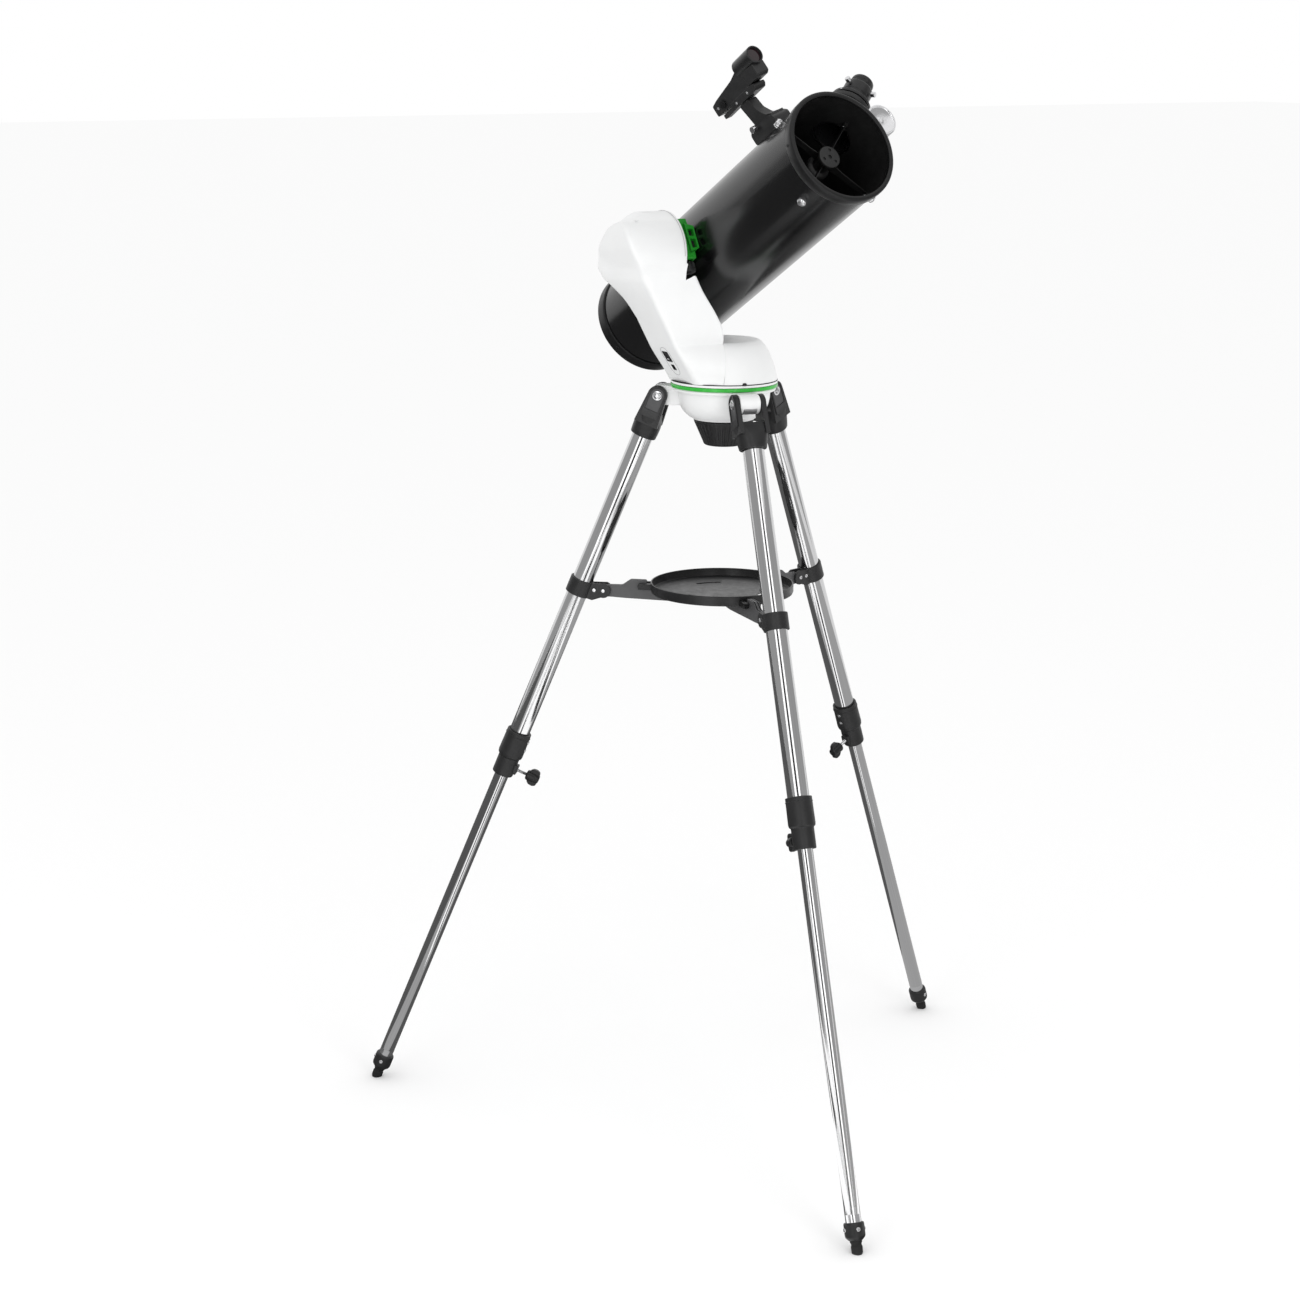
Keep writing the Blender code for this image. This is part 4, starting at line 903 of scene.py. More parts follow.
def build_arm():
    """Arm with its recess, holes and dimple, and grey beads that paint the shade in the head's
    seam and in the groove round the controls.
    """
    levels = [COVER_Z] + evenly(COVER_Z, COVER_EDGE_Z, 14)
    levels += evenly(COVER_EDGE_Z, 1.3270, 30) + [1.3290, 1.3310]
    levels += evenly(1.3310, 1.3850, 12)
    levels += [1.3880, 1.3910, 1.3940, 1.3965, 1.3985, 1.4000, 1.4010, 1.4016]
    recess = moved(rod(RECESS_R, 0, 0.12, 96), (HEAD_FACE_X + 0.0002, 0, PIVOT_Z), TO_X)
    shaft = moved(rod(0.0103, 0, 0.03, 40), (HEAD_FACE_X - 0.010, 0, PIVOT_Z), TO_X)
    switch_hole = box((-0.0090, -0.0066, -0.0080), (0.0090, 0.0066, 0.0100))
    socket_hole = prism(plate(0.0050, 0.0042, 0.0018), -0.009, 0.01)
    for hole, z in ((switch_hole, SWITCH_Z), (socket_hole, SOCKET_Z)):
        hole.transform(GROUND.inverted() @ face_frame(z))
    dimple = lathe([(0, -0.0022), (0.0024, -0.0016), (0.0034, 0.0012), (0, 0.0040)], 24)
    arm = combined(skin([arm_ring(z) for z in levels], caps=True),
                   [recess, shaft, switch_hole, socket_hole,
                    moved(dimple, (-0.1620, -0.0135, 1.3890))])
    piece("arm_shell", arm, GROUND, "white_shell", "turntable",
          replaces=("arm_housing",), angle=28)

    # A grey bead along the head's seam: painted shade of the seam.
    seam = [Vector((-0.1088, y, PIVOT_Z + z))
            for y, z in arc(0, 0, HEAD_R + 0.0001, 20, 180, 40)]
    piece("head_seam_shade", bead(seam, 0.00030, closed=False), GROUND, "painted_groove_shade",
          "turntable")
    # A grey bead round the switch and the inlet: painted shade of the groove engraved round the
    # controls.
    outline = []
    for x, y in arc(0.0105, 0, 0.0125, -90, 90, 16) + arc(-0.0095, 0, 0.0125, 90, 270, 16):
        z = (SWITCH_Z + SOCKET_Z) / 2 + 0.0006 + 0.93 * x
        outline.append(Vector((outer_x(z) - 0.00005, y * 0.92, z)))
    piece("control_groove_shade", bead(outline, 0.00035), GROUND, "painted_groove_shade", "turntable")


def build_controls():
    """Rocker switch in its bezel, and the round power inlet."""
    at = face_frame(SWITCH_Z)
    bezel = combined(prism(plate(0.0092, 0.0072, 0.0010), -0.0060, 0.0007),
                     [box((-0.0080, -0.0060, -0.02), (0.0080, 0.0060, 0.02))])
    piece("switch_bezel", bezel, at, "switch_black", "turntable", bevel=0.0003)
    dip = bezier((-0.0077, 0.0013), (-0.0030, 0.0002), (0.0030, 0.0002), (0.0077, 0.0013), 12)
    rocker = prism([(-0.0064, -0.0036)] + dip + [(0.0064, -0.0036)], -0.0057, 0.0057)
    tilt = Matrix.Rotation(math.radians(5), 3, "Y")
    piece("rocker", moved(rocker, rotation=tilt @ TO_Y), at, "switch_black",
          "power_switch", bevel=0.0004, replaces=("power_switch",))
    mark = lathe([(0.0016, -0.0002), (0.0020, -0.0002), (0.0020, 0.0002),
                  (0.0016, 0.0002)], 32, closed=True)
    piece("rocker_mark", moved(mark, (-0.0046, 0, 0.0012)), at, "white_shell",
          "power_switch")

    at = face_frame(SOCKET_Z)
    jack = combined(prism(plate(0.0052, 0.0044, 0.0018), -0.0095, 0.0004),
                    [rod(0.0029, -0.0075, 0.02, 32)])
    piece("inlet_body", jack, at, "switch_black", "turntable", bevel=0.0003,
          replaces=("power_socket",))
    pin = lathe([(0, -0.0080), (0.0010, -0.0080), (0.0010, -0.0016), (0.0005, -0.0010),
                 (0, -0.0010)], 20)
    piece("inlet_pin", pin, at, "bright_steel", "turntable")


# ---- saddle ----
SADDLE_FACE = -0.1020
BODY = "telescope_tube"


def build_saddle():
    """Cast green saddle with pockets and cap screws, its knob, and the dovetail bar, their green
    darkened as painted shade.
    """
    outline = [(SADDLE_FACE, -0.0310), (-0.0872, -0.0310), (-0.0862, -0.0195),
               (-0.0948, -0.0222), (-0.0948, 0.0222), (-0.0862, 0.0195),
               (-0.0872, 0.0310), (SADDLE_FACE, 0.0310)]
    places = [(side, z) for side in (-1, 1) for z in (-0.0340, -0.0115, 0.0115, 0.0340)]
    pockets = [box((-0.0994, side * 0.0310 - 0.0040, z - 0.0078),
                   (-0.0894, side * 0.0310 + 0.0040, z + 0.0078)) for side, z in places]
    pockets += [moved(rod(0.0042, -0.006, 0.006, 28), (-0.0970, 0, z), TO_X)
                for z in (-0.0240, 0.0240)]
    casting = combined(prism(outline, -0.0480, 0.0480), pockets)
    piece("saddle_casting", casting, TUBE, "green_cast_painted_shade", BODY, bevel=0.0007,
          replaces=("saddle_clamp",), angle=40)
    screws = [on_side(cap_screw(0.0032, 0.0030), -0.0944, side * 0.0268, z)
              for side, z in places if (side, z) != (-1, 0.0340)]
    piece("saddle_screws", together(*screws), TUBE, "black_anodised", BODY)

    bar = [(-0.0945, -0.0217), (-0.0800, -0.0172), (-0.0800, 0.0172), (-0.0945, 0.0217)]
    windows = ((-0.0165, -0.0030), (0.0020, 0.0125))
    slots = [box((-0.1, -0.0035, -0.0300), (-0.0885, 0.0035, 0.0300))]
    slots += [box((-0.0915, low, 0.0440), (-0.0825, high, 0.0600)) for low, high in windows]
    piece("dovetail", combined(prism(bar, -0.0520, 0.0520), slots), TUBE,
          "green_cast_painted_shade", BODY, bevel=0.0006, replaces=("dovetail_bar",))
    linings = [box((-0.0914, low + 0.0001, 0.0438), (-0.0826, high - 0.0001, 0.0450))
               for low, high in windows]
    piece("dovetail_linings", together(*linings), TUBE, "flat_black", BODY)
    feet = [box((-0.0802, -0.0150, low), (-0.0786, 0.0150, low + 0.022))
            for low in (-0.0500, 0.0280)]
    piece("dovetail_feet", together(*feet), TUBE, "black_anodised", BODY)

    grip = [(0, 0.0240), (0.0030, 0.0240), (0.0030, 0.0318), (0.0078, 0.0318),
            (0.0090, 0.0330), (0.0090, 0.0452), (0.0080, 0.0470), (0.0060, 0.0475),
            (0, 0.0475)]
    knob = lathe(grip, 144, ribs=18, depth=0.0007, ribbed=(0.0325, 0.0455))
    piece("saddle_grip", moved(knob, (-0.0935, 0, 0.0320), TO_Y), TUBE, "black_smooth",
          "saddle_knob", replaces=("saddle_knob",), angle=25)


def finish_drives():
    """Finishes for the drive parts inside, which keep their CAD shapes."""
    finishes = {"altitude_shaft": "bright_steel", "altitude_motor": "bright_steel",
                "azimuth_motor": "bright_steel", "altitude_gear": "gear_brass",
                "altitude_pinion": "gear_brass", "azimuth_gear": "gear_brass",
                "azimuth_pinion": "gear_brass"}
    for node, finish in finishes.items():
        for spot in frame["nodes"][node].material_slots:
            spot.material = LOOKS[finish]


# ---- optical tube ----
TUBE_R = 0.0795
FRONT_END = 0.3310
REAR_END = -0.2590
MIRROR_SCREW_ANGLES = (90, 210, 330)
SIDE_SCREW_ANGLES = ((213, 175), (333, 295), (93, 55))     # rear cell, front ring
VANE_ANGLES = (45.6, 135.6, 225.6, 315.6)
SECONDARY_ANGLE = 48.5


def build_tube():
    """Enamelled tube, front ring, and the rear cell with its screws."""
    wall = [(0.0783, REAR_END + 0.0032), (TUBE_R, REAR_END + 0.0032),
            (TUBE_R, FRONT_END - 0.0038), (0.0783, FRONT_END - 0.0038)]
    bore = rod(0.0290, 0.05, 0.10, 64)
    bore.transform(TUBE.inverted() @ FOCUSER)
    tube = piece("tube_wall", combined(lathe(wall, 192, closed=True), [bore]), TUBE,
                 "enamel", BODY, replaces=("optical_tube",), angle=30)
    second_finish(tube, "tube_inside", lambda face: face.center.xy.length < 0.0788)
    ring = above(FRONT_END, (TUBE_R + 0.0001, -0.0180), (0.0813, -0.0178),
                 (0.0824, -0.0160), (0.0828, -0.0060))
    ring += bezier(*above(FRONT_END, (0.0828, -0.0040), (0.0828, -0.0008), (0.0812, 0),
                          (0.0795, 0)), 8)[1:]
    ring += bezier(*above(FRONT_END, (0.0780, 0), (0.0762, 0), (0.0755, -0.0010),
                          (0.0755, -0.0030)), 6)
    ring += above(FRONT_END, (0.0755, -0.0070), (0.0781, -0.0074), (0.0782, -0.0040),
                  (TUBE_R + 0.0001, -0.0036))
    piece("front_bezel", lathe(ring, 192, closed=True), TUBE, "black_ring", BODY,
          replaces=("front_ring",), angle=45)

    rear = above(REAR_END, (0, 0.0029), (TUBE_R + 0.0001, 0.0029),
                 (TUBE_R + 0.0001, 0.0215), (0.0808, 0.0215))
    rear += bezier(*above(REAR_END, (0.0816, 0.0209), (0.0820, 0.0195), (0.0821, 0.0155),
                          (0.0821, 0.0060)), 5)
    rear += bezier(*above(REAR_END, (0.0820, 0.0040), (0.0818, 0.0008), (0.0800, 0),
                          (0.0770, 0)), 6)
    rear += above(REAR_END, (0.0745, 0), (0.0735, 0.0012), (0.0300, 0.0016),
                  (0.0290, 0.0004), (0, 0.0004))
    posts = [moved(rod(0.0060, REAR_END + 0.002, REAR_END + 0.0222), polar(0.0450, a))
             for a in MIRROR_SCREW_ANGLES]
    piece("rear_cap", together(lathe(rear, 192), *posts), TUBE, "black_ring", BODY,
          replaces=("rear_cell",), angle=45)
    head = soften([(0, 0), (0.0048, 0), (0.0048, -0.0012), (0.0030, -0.0014),
                   (0, -0.0014)], 0.0003)
    pushers = [moved(lathe(head, 72, ribs=18, depth=0.0003, ribbed=(-0.0012, 1)),
                     polar(0.0560, a, REAR_END + 0.0014)) for a in MIRROR_SCREW_ANGLES]
    lockers = [moved(cap_screw(0.0030, 0.0012), polar(0.0560, a + 14, REAR_END + 0.0014),
                     UPSIDE) for a in MIRROR_SCREW_ANGLES]
    piece("collimation_screws", together(*pushers), TUBE, "bright_steel", BODY)
    piece("locking_screws", together(*lockers), TUBE, "black_anodised", BODY)
    for number, (rear_angle, front_angle) in enumerate(SIDE_SCREW_ANGLES, start=1):
        piece(f"rear_side_screw_{number}", cap_screw(0.0030, 0.0012),
              TUBE @ radial(0.0820, rear_angle, REAR_END + 0.0135), "black_anodised", BODY)
        piece(f"front_side_screw_{number}", cap_screw(0.0022, 0.0009),
              TUBE @ radial(0.0823, front_angle, FRONT_END - 0.0120), "black_anodised",
              BODY)


def build_primary():
    """Primary mirror with its clips and its cell."""
    low = REAR_END + 0.0225
    disc = above(low, (0, 0), (0.0645, 0), (0.0650, 0.0006), (0.0650, 0.0118),
                 (0.0643, 0.0125))
    disc += above(low, *[(0.0643 * (1 - k / 10), 0.0105 + 0.0020 * (1 - k / 10) ** 2)
                         for k in range(1, 11)])
    mirror = piece("primary", lathe(disc, 128), TUBE, "mirror_coat", BODY,
                   replaces=("primary_mirror",), angle=40)
    second_finish(mirror, "mirror_edge",
                  lambda face: (face.center.xy.length > 0.0646
                                or face.center.z < low + 0.0005))
    clips = []
    for a in (30, 150, 270):
        clip = box((0.0605, -0.0050, low + 0.0123), (0.0700, 0.0050, low + 0.0137))
        post = box((0.0655, -0.0050, low - 0.0010), (0.0700, 0.0050, low + 0.0130))
        clips += [moved(part, rotation=about_z(a)) for part in (clip, post)]
    piece("mirror_clips", together(*clips), TUBE, "flat_black", BODY, bevel=0.0004)
    cell = soften(above(low, (0.0560, -0.0010), (0.0730, -0.0010), (0.0730, 0.0050),
                        (0.0665, 0.0050), (0.0660, 0.0010)), 0.0005, closed=True)
    piece("mirror_cell", lathe(cell, 96, closed=True), TUBE, "flat_black", BODY)


def build_spider():
    """Vanes, hub with its screws, bolts through the tube, and the slanted secondary."""
    hub = soften([(0, 0.2970), (0.0158, 0.2970), (0.0166, 0.2960), (0.0166, 0.2912),
                  (0.0118, 0.2908), (0.0116, 0.2700), (0.0150, 0.2680),
                  (0.0172, 0.2660), (0.0172, 0.2640), (0, 0.2640)], 0.0006)
    thirds = (75, 195, 315)
    holes = [moved(rod(0.0024, 0, 0.01), polar(0.0105, a, 0.2952)) for a in thirds]
    holes.append(rod(0.0030, 0.2945, 0.31, 32))
    vane = [(0.0060, 0.2725), (0.0300, 0.2755), (0.0782, 0.2755), (0.0782, 0.2865),
            (0.0300, 0.2865), (0.0060, 0.2895)]
    parts = [combined(lathe(hub, 72), holes)]
    for angle in VANE_ANGLES:
        tab = box((0.0740, -0.0028, 0.2760), (0.0782, 0.0028, 0.2860))
        parts += [moved(part, rotation=about_z(angle))
                  for part in (slab(vane, -0.0004, 0.0004), tab)]
    piece("spider_vanes", together(*parts), TUBE, "vane_black", BODY,
          replaces=("spider",), angle=35)
    screws = [moved(cap_screw(0.0021, 0.0008), polar(0.0105, a, 0.2953)) for a in thirds]
    screws.append(moved(cap_screw(0.0026, 0.0010), (0, 0, 0.2947)))
    piece("hub_screws", together(*screws), TUBE, "black_anodised", BODY)
    nut = soften([(0, 0.0088), (0.0044, 0.0086), (0.0064, 0.0064), (0.0069, 0.0020),
                  (0.0060, 0.0010), (0.0060, 0), (0, 0)], 0.0008)
    for number, angle in enumerate(VANE_ANGLES, start=1):
        piece(f"spider_nut_{number}",
              lathe(nut, 96, ribs=24, depth=0.0003, ribbed=(0.0014, 0.0060)),
              TUBE @ radial(TUBE_R - 0.0002, angle, 0.2840), "bright_steel", BODY,
              angle=25)
        piece(f"vane_screw_{number}", moved(cap_screw(0.0022, 0.0014), rotation=UPSIDE),
              TUBE @ radial(0.0742, angle, 0.2800), "bright_steel", BODY)

    slant = (polar(1, SECONDARY_ANGLE) - Vector((0, 0, 1))).normalized()
    holder = sliced(rod(0.0175, 0.2240, 0.2636, 96), (0, 0, FOCUS_T), slant)
    mirror = piece("secondary", holder, TUBE, "flat_black", BODY, bevel=0.0002,
                   replaces=("secondary_mirror",), angle=30)
    second_finish(mirror, "mirror_coat", lambda face: face.normal.dot(slant) > 0.99)


# ---- focuser ----
FOCUSER_TOP = 0.1380
ROLLER_RHO = 0.1105
ROLLER_Y = 0.0377
FLANGE = FOCUSER_TOP + 0.0062


def thumbscrew(shaft, radius, height):
    """A knurled thumbscrew with its foot at z = 0."""
    outline = soften([(0, 0), (0.0014, 0), (0.0014, shaft), (radius, shaft),
                      (radius, shaft + height), (0, shaft + height)], 0.0006)
    return lathe(outline, 96, ribs=24, depth=0.0003,
                 ribbed=(shaft + 0.0006, shaft + height - 0.0006))


def tube_space():
    """The optical tube's own space, which a foot on the tube leaves free."""
    return moved(rod(TUBE_R + 0.0002, -0.1, 0.1, 128), rotation=TO_X)


def build_focuser():
    """Focuser casting and the drawtube, with their screws."""
    body = [(0.0285, 0.0740), (0.0340, 0.0740), (0.0335, 0.0900), (0.0325, 0.0960),
            (0.0325, FOCUSER_TOP - 0.0080), (0.0345, FOCUSER_TOP - 0.0070),
            (0.0345, FOCUSER_TOP), (0.0285, FOCUSER_TOP)]
    barrel = lathe(soften(body, 0.0010, closed=True), 96, closed=True)
    house = soften([(0.0230, -0.0125), (0.0500, -0.0110), (0.0510, 0.0), (0.0500, 0.0110),
                    (0.0230, 0.0125)], 0.0030, closed=True, steps=4)
    house = moved(prism(house, -0.0200, 0.0200), (0, 0, ROLLER_RHO), TO_X)
    base = combined(prism(plate(0.0380, 0.0370, 0.0090, 6), 0.0600, 0.0870),
                    [tube_space(), rod(0.0283, 0.0500, 0.1900, 96)])
    casting = together(base, combined(house, [rod(0.0290, 0.05, 0.19, 96)]),
                       combined(barrel, [tube_space()]))
    piece("focuser_casting", casting, FOCUSER, "black_anodised", BODY, bevel=0.0008,
          replaces=("focuser_body",), angle=40)
    screws = [moved(cap_screw(0.0026, 0.0016), (x, y, 0.0868))
              for x in (-0.0315, 0.0315) for y in (-0.0305, 0.0305)]
    piece("focuser_screws", together(*screws), FOCUSER, "bright_steel", BODY)
    lock = moved(thumbscrew(0.0040, 0.0045, 0.0070), (0, 0.0500, ROLLER_RHO),
                 TO_Y.inverted())
    piece("focus_lock", lock, FOCUSER, "bright_steel", BODY, angle=25)

    draw = [(0.0280, 0.0790)]
    draw += above(FLANGE, (0.0280, 0), (0.0305, 0), (0.0305, 0.0050), (0.0290, 0.0062),
                  (0.0216, 0.0075), (0.0205, 0.0095), (0.0205, 0.0180), (0.0212, 0.0190),
                  (0.0212, 0.0340), (0.0202, 0.0358), (0.0161, 0.0358), (0.0161, 0.0020),
                  (0.0250, -0.0060))
    draw += [(0.0250, 0.0790)]
    piece("draw_tube", lathe(soften(draw, 0.0006, closed=True), 96, closed=True), FOCUSER,
          "black_anodised", "drawtube", replaces=("drawtube",), angle=40)
    for number, degrees in enumerate((-62, 40), start=1):
        piece(f"eyepiece_screw_{number}", thumbscrew(0.0050, 0.0040, 0.0060),
              FOCUSER @ radial(0.0190, degrees, FLANGE + 0.0265), "bright_steel",
              "drawtube", angle=25)
    for number, degrees in enumerate((-60, 60, 180), start=1):
        piece(f"flange_screw_{number}", cap_screw(0.0016, 0.0010),
              FOCUSER @ radial(0.0300, degrees, FLANGE + 0.0026), "bright_steel",
              "drawtube")


def build_focus_knobs():
    """Roller axle and its two silver knobs with black backs."""
    axle_at = FOCUSER @ Matrix.Translation((0, ROLLER_Y, ROLLER_RHO))
    axle = lathe(soften([(0, -0.0405), (0.0030, -0.0405), (0.0030, -0.0100),
                         (0.0093, -0.0100), (0.0093, 0.0100), (0.0030, 0.0100),
                         (0.0030, 0.0405), (0, 0.0405)], 0.0004), 48)
    piece("focus_axle", moved(axle, rotation=TO_X), axle_at, "bright_steel",
          "focus_knobs", replaces=("focus_knobs",))
    face = [(0, 0.0535), (0.0030, 0.0534), (0.0036, 0.0528), (0.0060, 0.0524),
            (0.0190, 0.0545), (0.0198, 0.0550), (0.0205, 0.0560), (0.0222, 0.0560),
            (0.0234, 0.0552), (0.0235, 0.0530), (0.0235, 0.0440), (0.0226, 0.0428),
            (0.0200, 0.0402), (0, 0.0400)]
    for number, turn in enumerate((BACK_X, TO_X), start=1):
        knob = lathe(face, 192, ribs=48, depth=0.0004, ribbed=(0.0438, 0.0545))
        piece(f"focus_wheel_{number}", moved(knob, rotation=turn), axle_at,
              "turned_silver", "focus_knobs", angle=24)
        grip = soften([(0.0180, 0.0392), (0.0237, 0.0400), (0.0237, 0.0424),
                       (0.0180, 0.0424)], 0.0005, closed=True)
        grip = moved(lathe(grip, 96, closed=True), rotation=turn)
        piece(f"wheel_backing_{number}", grip, axle_at, "black_smooth", "focus_knobs")


def build_eyepiece():
    """Eyepiece barrel with a hollow top, and its lens."""
    seat = FLANGE + 0.0360
    shell = [(0.0158, FLANGE + 0.0040)]
    shell += above(seat, (0.0158, 0), (0.0166, 0.0002), (0.0169, 0.0010),
                   (0.0169, 0.0060), (0.0164, 0.0066), (0.0164, 0.0080), (0.0169, 0.0086))
    shell += bezier(*above(seat, (0.0169, 0.0120), (0.0169, 0.0150), (0.0158, 0.0158),
                           (0.0142, 0.0157)), 6)
    shell += bezier(*above(seat, (0.0130, 0.0155), (0.0118, 0.0150), (0.0108, 0.0130),
                           (0.0104, 0.0110)), 6)
    shell += above(seat, (0.0100, 0.0108), (0, 0.0106)) + [(0, FLANGE + 0.0040)]
    piece("eyepiece_barrel", lathe(shell, 96), FOCUSER, "black_smooth", "eyepiece",
          replaces=("eyepiece",), angle=35)
    dome = [(0.0102 * math.cos(a), seat + 0.0108 + 0.0026 * math.sin(a))
            for a in (0, 0.3, 0.6, 0.9, 1.2, 1.45)]
    piece("eye_lens", lathe(dome + [(0, seat + 0.0134)], 64), FOCUSER, "lens_dark",
          "eyepiece")


# ---- finder ----
SIGHT_RHO = 0.1780


def profile(softness, *points):
    """A closed outline with soft corners, from (along the tube, out from its axis)."""
    return soften([(t - FINDER_T, rho) for t, rho in points], softness, closed=True)


def build_finder():
    """Red-dot finder: foot, stalk, clamp base, sight body with hood, and screws."""
    foot = profile(0.0030, (0.1985, 0.0780), (0.2600, 0.0780), (0.2600, 0.0930),
                   (0.2520, 0.0985), (0.2050, 0.0985), (0.1985, 0.0930))
    stalk = profile(0.0035, (0.2075, 0.0930), (0.2540, 0.0930), (0.2530, 0.1000),
                    (0.2400, 0.1035), (0.2290, 0.1180), (0.2260, 0.1372),
                    (0.2030, 0.1372), (0.2070, 0.1180), (0.2100, 0.1020))
    rail = box((-0.0290, -0.0125, 0.0900), (0.0250, 0.0125, 0.0995))
    shoe = together(combined(slab(foot, -0.0150, 0.0150), [tube_space()]),
                    slab(stalk, -0.0078, 0.0078), rail)
    piece("finder_foot", shoe, FINDER, "black_moulding", BODY, bevel=0.0009,
          replaces=("finder_bracket",), angle=35)
    at = frame_at(Vector((0.2200 - FINDER_T, -0.0140, 0.0960)), (1, 0, 0), (0, -1, 0))
    piece("finder_screw", thumbscrew(0.0050, 0.0050, 0.0075), FINDER @ at,
          "bright_steel", BODY, angle=25)

    cradle = profile(0.0015, (0.1900, 0.1378), (0.2520, 0.1378), (0.2560, 0.1420),
                     (0.2560, 0.1465), (0.2470, 0.1490), (0.1900, 0.1490))
    tail = profile(0.0010, (0.1620, 0.1385), (0.1960, 0.1385), (0.1960, 0.1450),
                   (0.1620, 0.1450))
    sight = profile(0.0025, (0.1560, 0.1470), (0.2480, 0.1470), (0.2500, 0.1530),
                    (0.2600, 0.1560), (0.2620, 0.1690), (0.2390, 0.1790),
                    (0.2180, 0.1730), (0.1700, 0.1672), (0.1560, 0.1640))
    block = profile(0.0016, (0.2440, 0.1488), (0.2700, 0.1488), (0.2748, 0.1520),
                    (0.2748, 0.1680), (0.2440, 0.1690))
    parts = [slab(outline, -half, half) for outline, half in
             ((cradle, 0.0105), (tail, 0.0060), (sight, 0.0100), (block, 0.0112))]
    piece("finder_sight", together(*parts), FINDER, "black_moulding", BODY,
          bevel=0.0008, replaces=("finder_body",), angle=35)
    hood = [(radius, t - FINDER_T) for radius, t in
            ((0.0131, 0.2370), (0.0131, 0.2790), (0.0125, 0.2796), (0.0110, 0.2796),
             (0.0106, 0.2788), (0.0106, 0.2390))]
    piece("finder_hood", moved(lathe(hood, 72, closed=True), (0, 0, SIGHT_RHO), TO_X),
          FINDER, "black_smooth", BODY, angle=40)
    pane = lathe([(0, 0.2742 - FINDER_T), (0.0106, 0.2742 - FINDER_T),
                  (0.0106, 0.2760 - FINDER_T), (0, 0.2765 - FINDER_T)], 48)
    piece("finder_pane", moved(pane, (0, 0, SIGHT_RHO), TO_X), FINDER, "lens_dark", BODY,
          replaces=("finder_lens",))
    screws = [on_side(cap_screw(0.0022, 0.0012), t - FINDER_T, y, rho)
              for t, rho in ((0.2350, 0.1432), (0.2050, 0.1432), (0.1660, 0.1560))
              for y in (-0.0102, 0.0102)]
    piece("finder_hex_screws", together(*screws), FINDER, "bright_steel", BODY)
    dial = lathe(soften([(0, 0), (0.0062, 0), (0.0062, 0.0030), (0, 0.0032)], 0.0005), 96,
                 ribs=24, depth=0.0003, ribbed=(0.0004, 0.0026))
    at = FINDER @ Matrix.Translation((0.1800 - FINDER_T, -0.0100, 0.1560)) @ TO_Y.to_4x4()
    piece("finder_dial", dial, at, "black_smooth", BODY, angle=25)


# ---- stage ----
def area_light(name, location, target, power):
    """A tall soft panel that faces a point and shows neither itself nor a glint."""
    data = bpy.data.lights.new(name, "AREA")
    data.shape = "RECTANGLE"
    data.size, data.size_y = LAMP_SIZE
    data.energy = power
    lamp = bpy.data.objects.new(name, data)
    scene.collection.objects.link(lamp)
    back = location - target
    lamp.matrix_world = frame_at(location, Vector((0, 0, 1)).cross(back), back)
    lamp.visible_camera = False
    lamp.visible_glossy = False


def plain_paint(name, colour, roughness=0.5):
    """A material without gloss, and its shader."""
    paint = bpy.data.materials.new(name)
    paint.use_nodes = True
    shader = paint.node_tree.nodes["Principled BSDF"]
    shader.inputs["Base Color"].default_value = colour
    shader.inputs["Roughness"].default_value = roughness
    shader.inputs["Specular IOR Level"].default_value = 0.0
    return paint, shader


def sheet(rows):
    """An open sheet of faces through rows of points."""
    bm = bmesh.new()
    made = [[bm.verts.new(point) for point in row] for row in rows]
    for low, high in zip(made, made[1:]):
        for i in range(len(low) - 1):
            bm.faces.new((low[i], low[i + 1], high[i + 1], high[i]))
    return bm


def rays(centre, spread):
    """Directions out from a point, their angles from the camera's bearing there."""
    ahead = CAMERA_AT - centre
    start = math.degrees(math.atan2(ahead.y, ahead.x)) + spread[0]
    return [polar(1, start + (spread[1] - spread[0]) * k / 28) for k in range(29)]


def screen(radius, low, high, spread):
    """A curved screen round the mount."""
    middle = GROUND.translation
    return sheet([[middle + radius * ray + Vector((0, 0, z)) for ray in rays(AXIS, spread)]
                  for z in (low, high)])


def fan(centre, radii, spread, height):
    """A flat sector near the floor."""
    middle = Vector((centre.x, centre.y, height))
    return sheet([[middle + radius * ray for ray in rays(centre, spread)]
                  for radius in radii])


def reflector_card(name, bm, level):
    """A grey card that only shows in reflections."""
    card = object_from(bm, name)
    paint, shader = plain_paint(name, (0, 0, 0, 1))
    shader.inputs["Emission Color"].default_value = (1, 1, 1, 1)
    shader.inputs["Emission Strength"].default_value = level
    card.data.materials.append(paint)
    card.visible_camera = False
    card.visible_diffuse = False
    card.visible_shadow = False
    card.visible_transmission = False


CAMERA_AT = Vector((-2.238417, -3.216115, 1.6698))
CAMERA_FORWARD = Vector((0.51347, 0.82676, -0.22981))
CAMERA_UP = Vector((0.11787, 0.19732, 0.97323))
LENS = 73.91
LAMP_SIZE = (1.35, 4.2)
LAMP_WAY = 3.6
GAP_SPREAD = (-8.8, 8.8)         # dark gap in the reflections, degrees from the camera
SIDE_SPREADS = (("left", (-26, -8.9)), ("right", (8.9, 26)))
CARD_TOP = 6.5
LEG_CARD = (0.12, 2.4)
DARK = 0.13


def build_camera():
    """The camera, at the photograph's angle."""
    camera = bpy.data.cameras.new("camera")
    camera.lens = LENS
    camera.sensor_width = 36.0
    camera.clip_end = 100.0
    eye = bpy.data.objects.new("camera", camera)
    scene.collection.objects.link(eye)
    eye.matrix_world = frame_at(CAMERA_AT, CAMERA_FORWARD.cross(CAMERA_UP), -CAMERA_FORWARD)
    scene.camera = eye


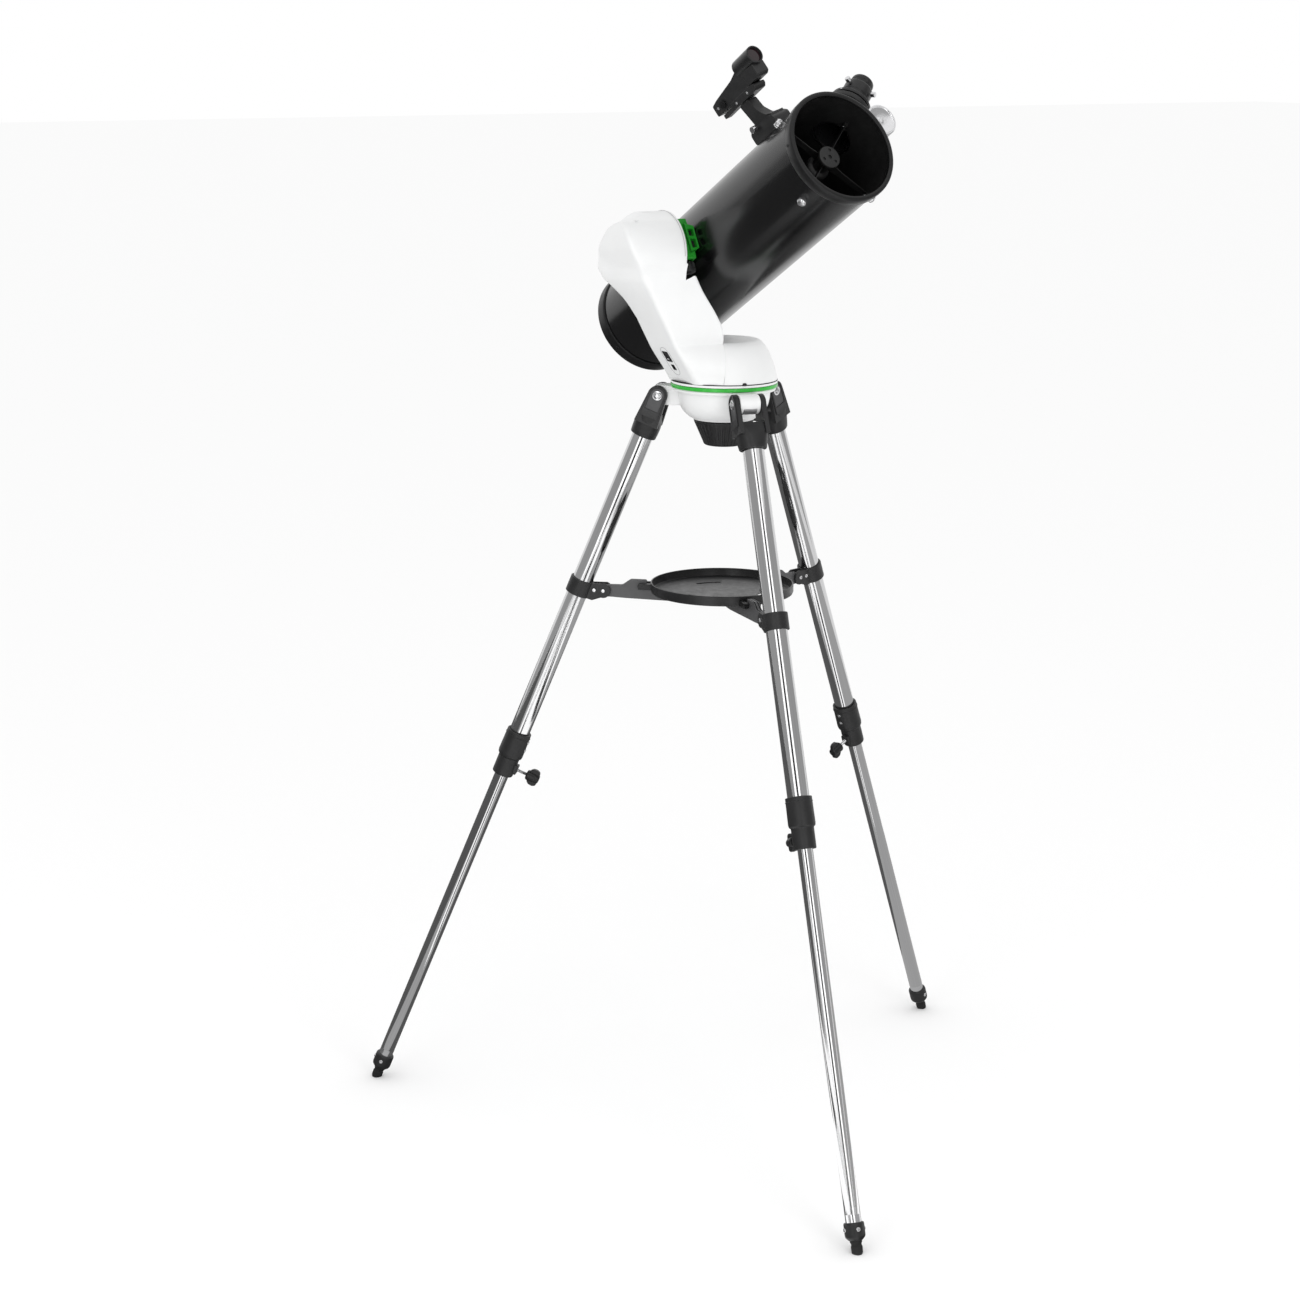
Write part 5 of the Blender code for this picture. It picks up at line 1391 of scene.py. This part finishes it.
def build_studio():
    """Pale floor, white world and two tall lamps."""
    floor = object_from(box((-40, -40, -0.02), (40, 40, 0)), "floor")
    floor.data.materials.append(plain_paint("floor_paint", (0.96, 0.96, 0.96, 1), 0.9)[0])

    world = bpy.data.worlds.new("studio")
    scene.world = world
    world.use_nodes = True
    sky = world.node_tree.nodes["Background"]
    sky.inputs["Color"].default_value = (1.0, 1.0, 1.0, 1)
    sky.inputs["Strength"].default_value = 1.0

    target = Vector((AXIS.x, AXIS.y, 1.0))
    for name, angle, power in (("strip_left", -29, 18), ("strip_right", 29, 36)):
        out = rays(AXIS, (angle, angle))[0]
        area_light(name, target + LAMP_WAY * out + Vector((0, 0, 0.35)), target, power)
    scene.view_settings.view_transform = "Standard"


def build_reflections():
    """Grey, bright and dark cards that the steel and the enamel mirror."""
    far = math.dist(CAMERA_AT.xy, AXIS.xy)
    reflector_card("grey_wall", screen(7.0, -0.5, 7.0, (-112, 112)), 0.44)
    reflector_card("dark_gap", screen(far, 0.0, CARD_TOP, GAP_SPREAD), 0.05)
    for name, spread in SIDE_SPREADS:
        reflector_card(f"bright_{name}", screen(far, 0.0, CARD_TOP, spread), 2.0)
    reflector_card("grey_floor", fan(AXIS, (0.01, 2.8), (-95, 160), 0.0010), 0.50)
    for name, radii, spread, height in (
            ("dark_floor", (0.01, 6.5), (-178, -95), 0.0012),
            ("dark_floor_left", (0.75, 6.5), (-95, -48), 0.0014),
            ("dark_floor_right", (0.01, 1.6), (-205, -178), 0.0014)):
        reflector_card(name, fan(AXIS, radii, spread, height), DARK)
    for i, leg in enumerate(LEGS, start=1):
        foot = leg @ Vector((0, 0, 0.75))
        reflector_card(f"floor_gap_{i}", fan(foot, LEG_CARD, GAP_SPREAD, 0.0020), 0.05)
        for name, spread in SIDE_SPREADS:
            reflector_card(f"floor_{name}_{i}", fan(foot, LEG_CARD, spread, 0.0020), 1.6)


build_head()
build_legs()
build_spreader()
build_tray()
build_cover()
build_arm()
build_controls()
build_saddle()
finish_drives()
build_tube()
build_primary()
build_spider()
build_focuser()
build_focus_knobs()
build_eyepiece()
build_finder()
build_camera()
build_studio()
build_reflections()
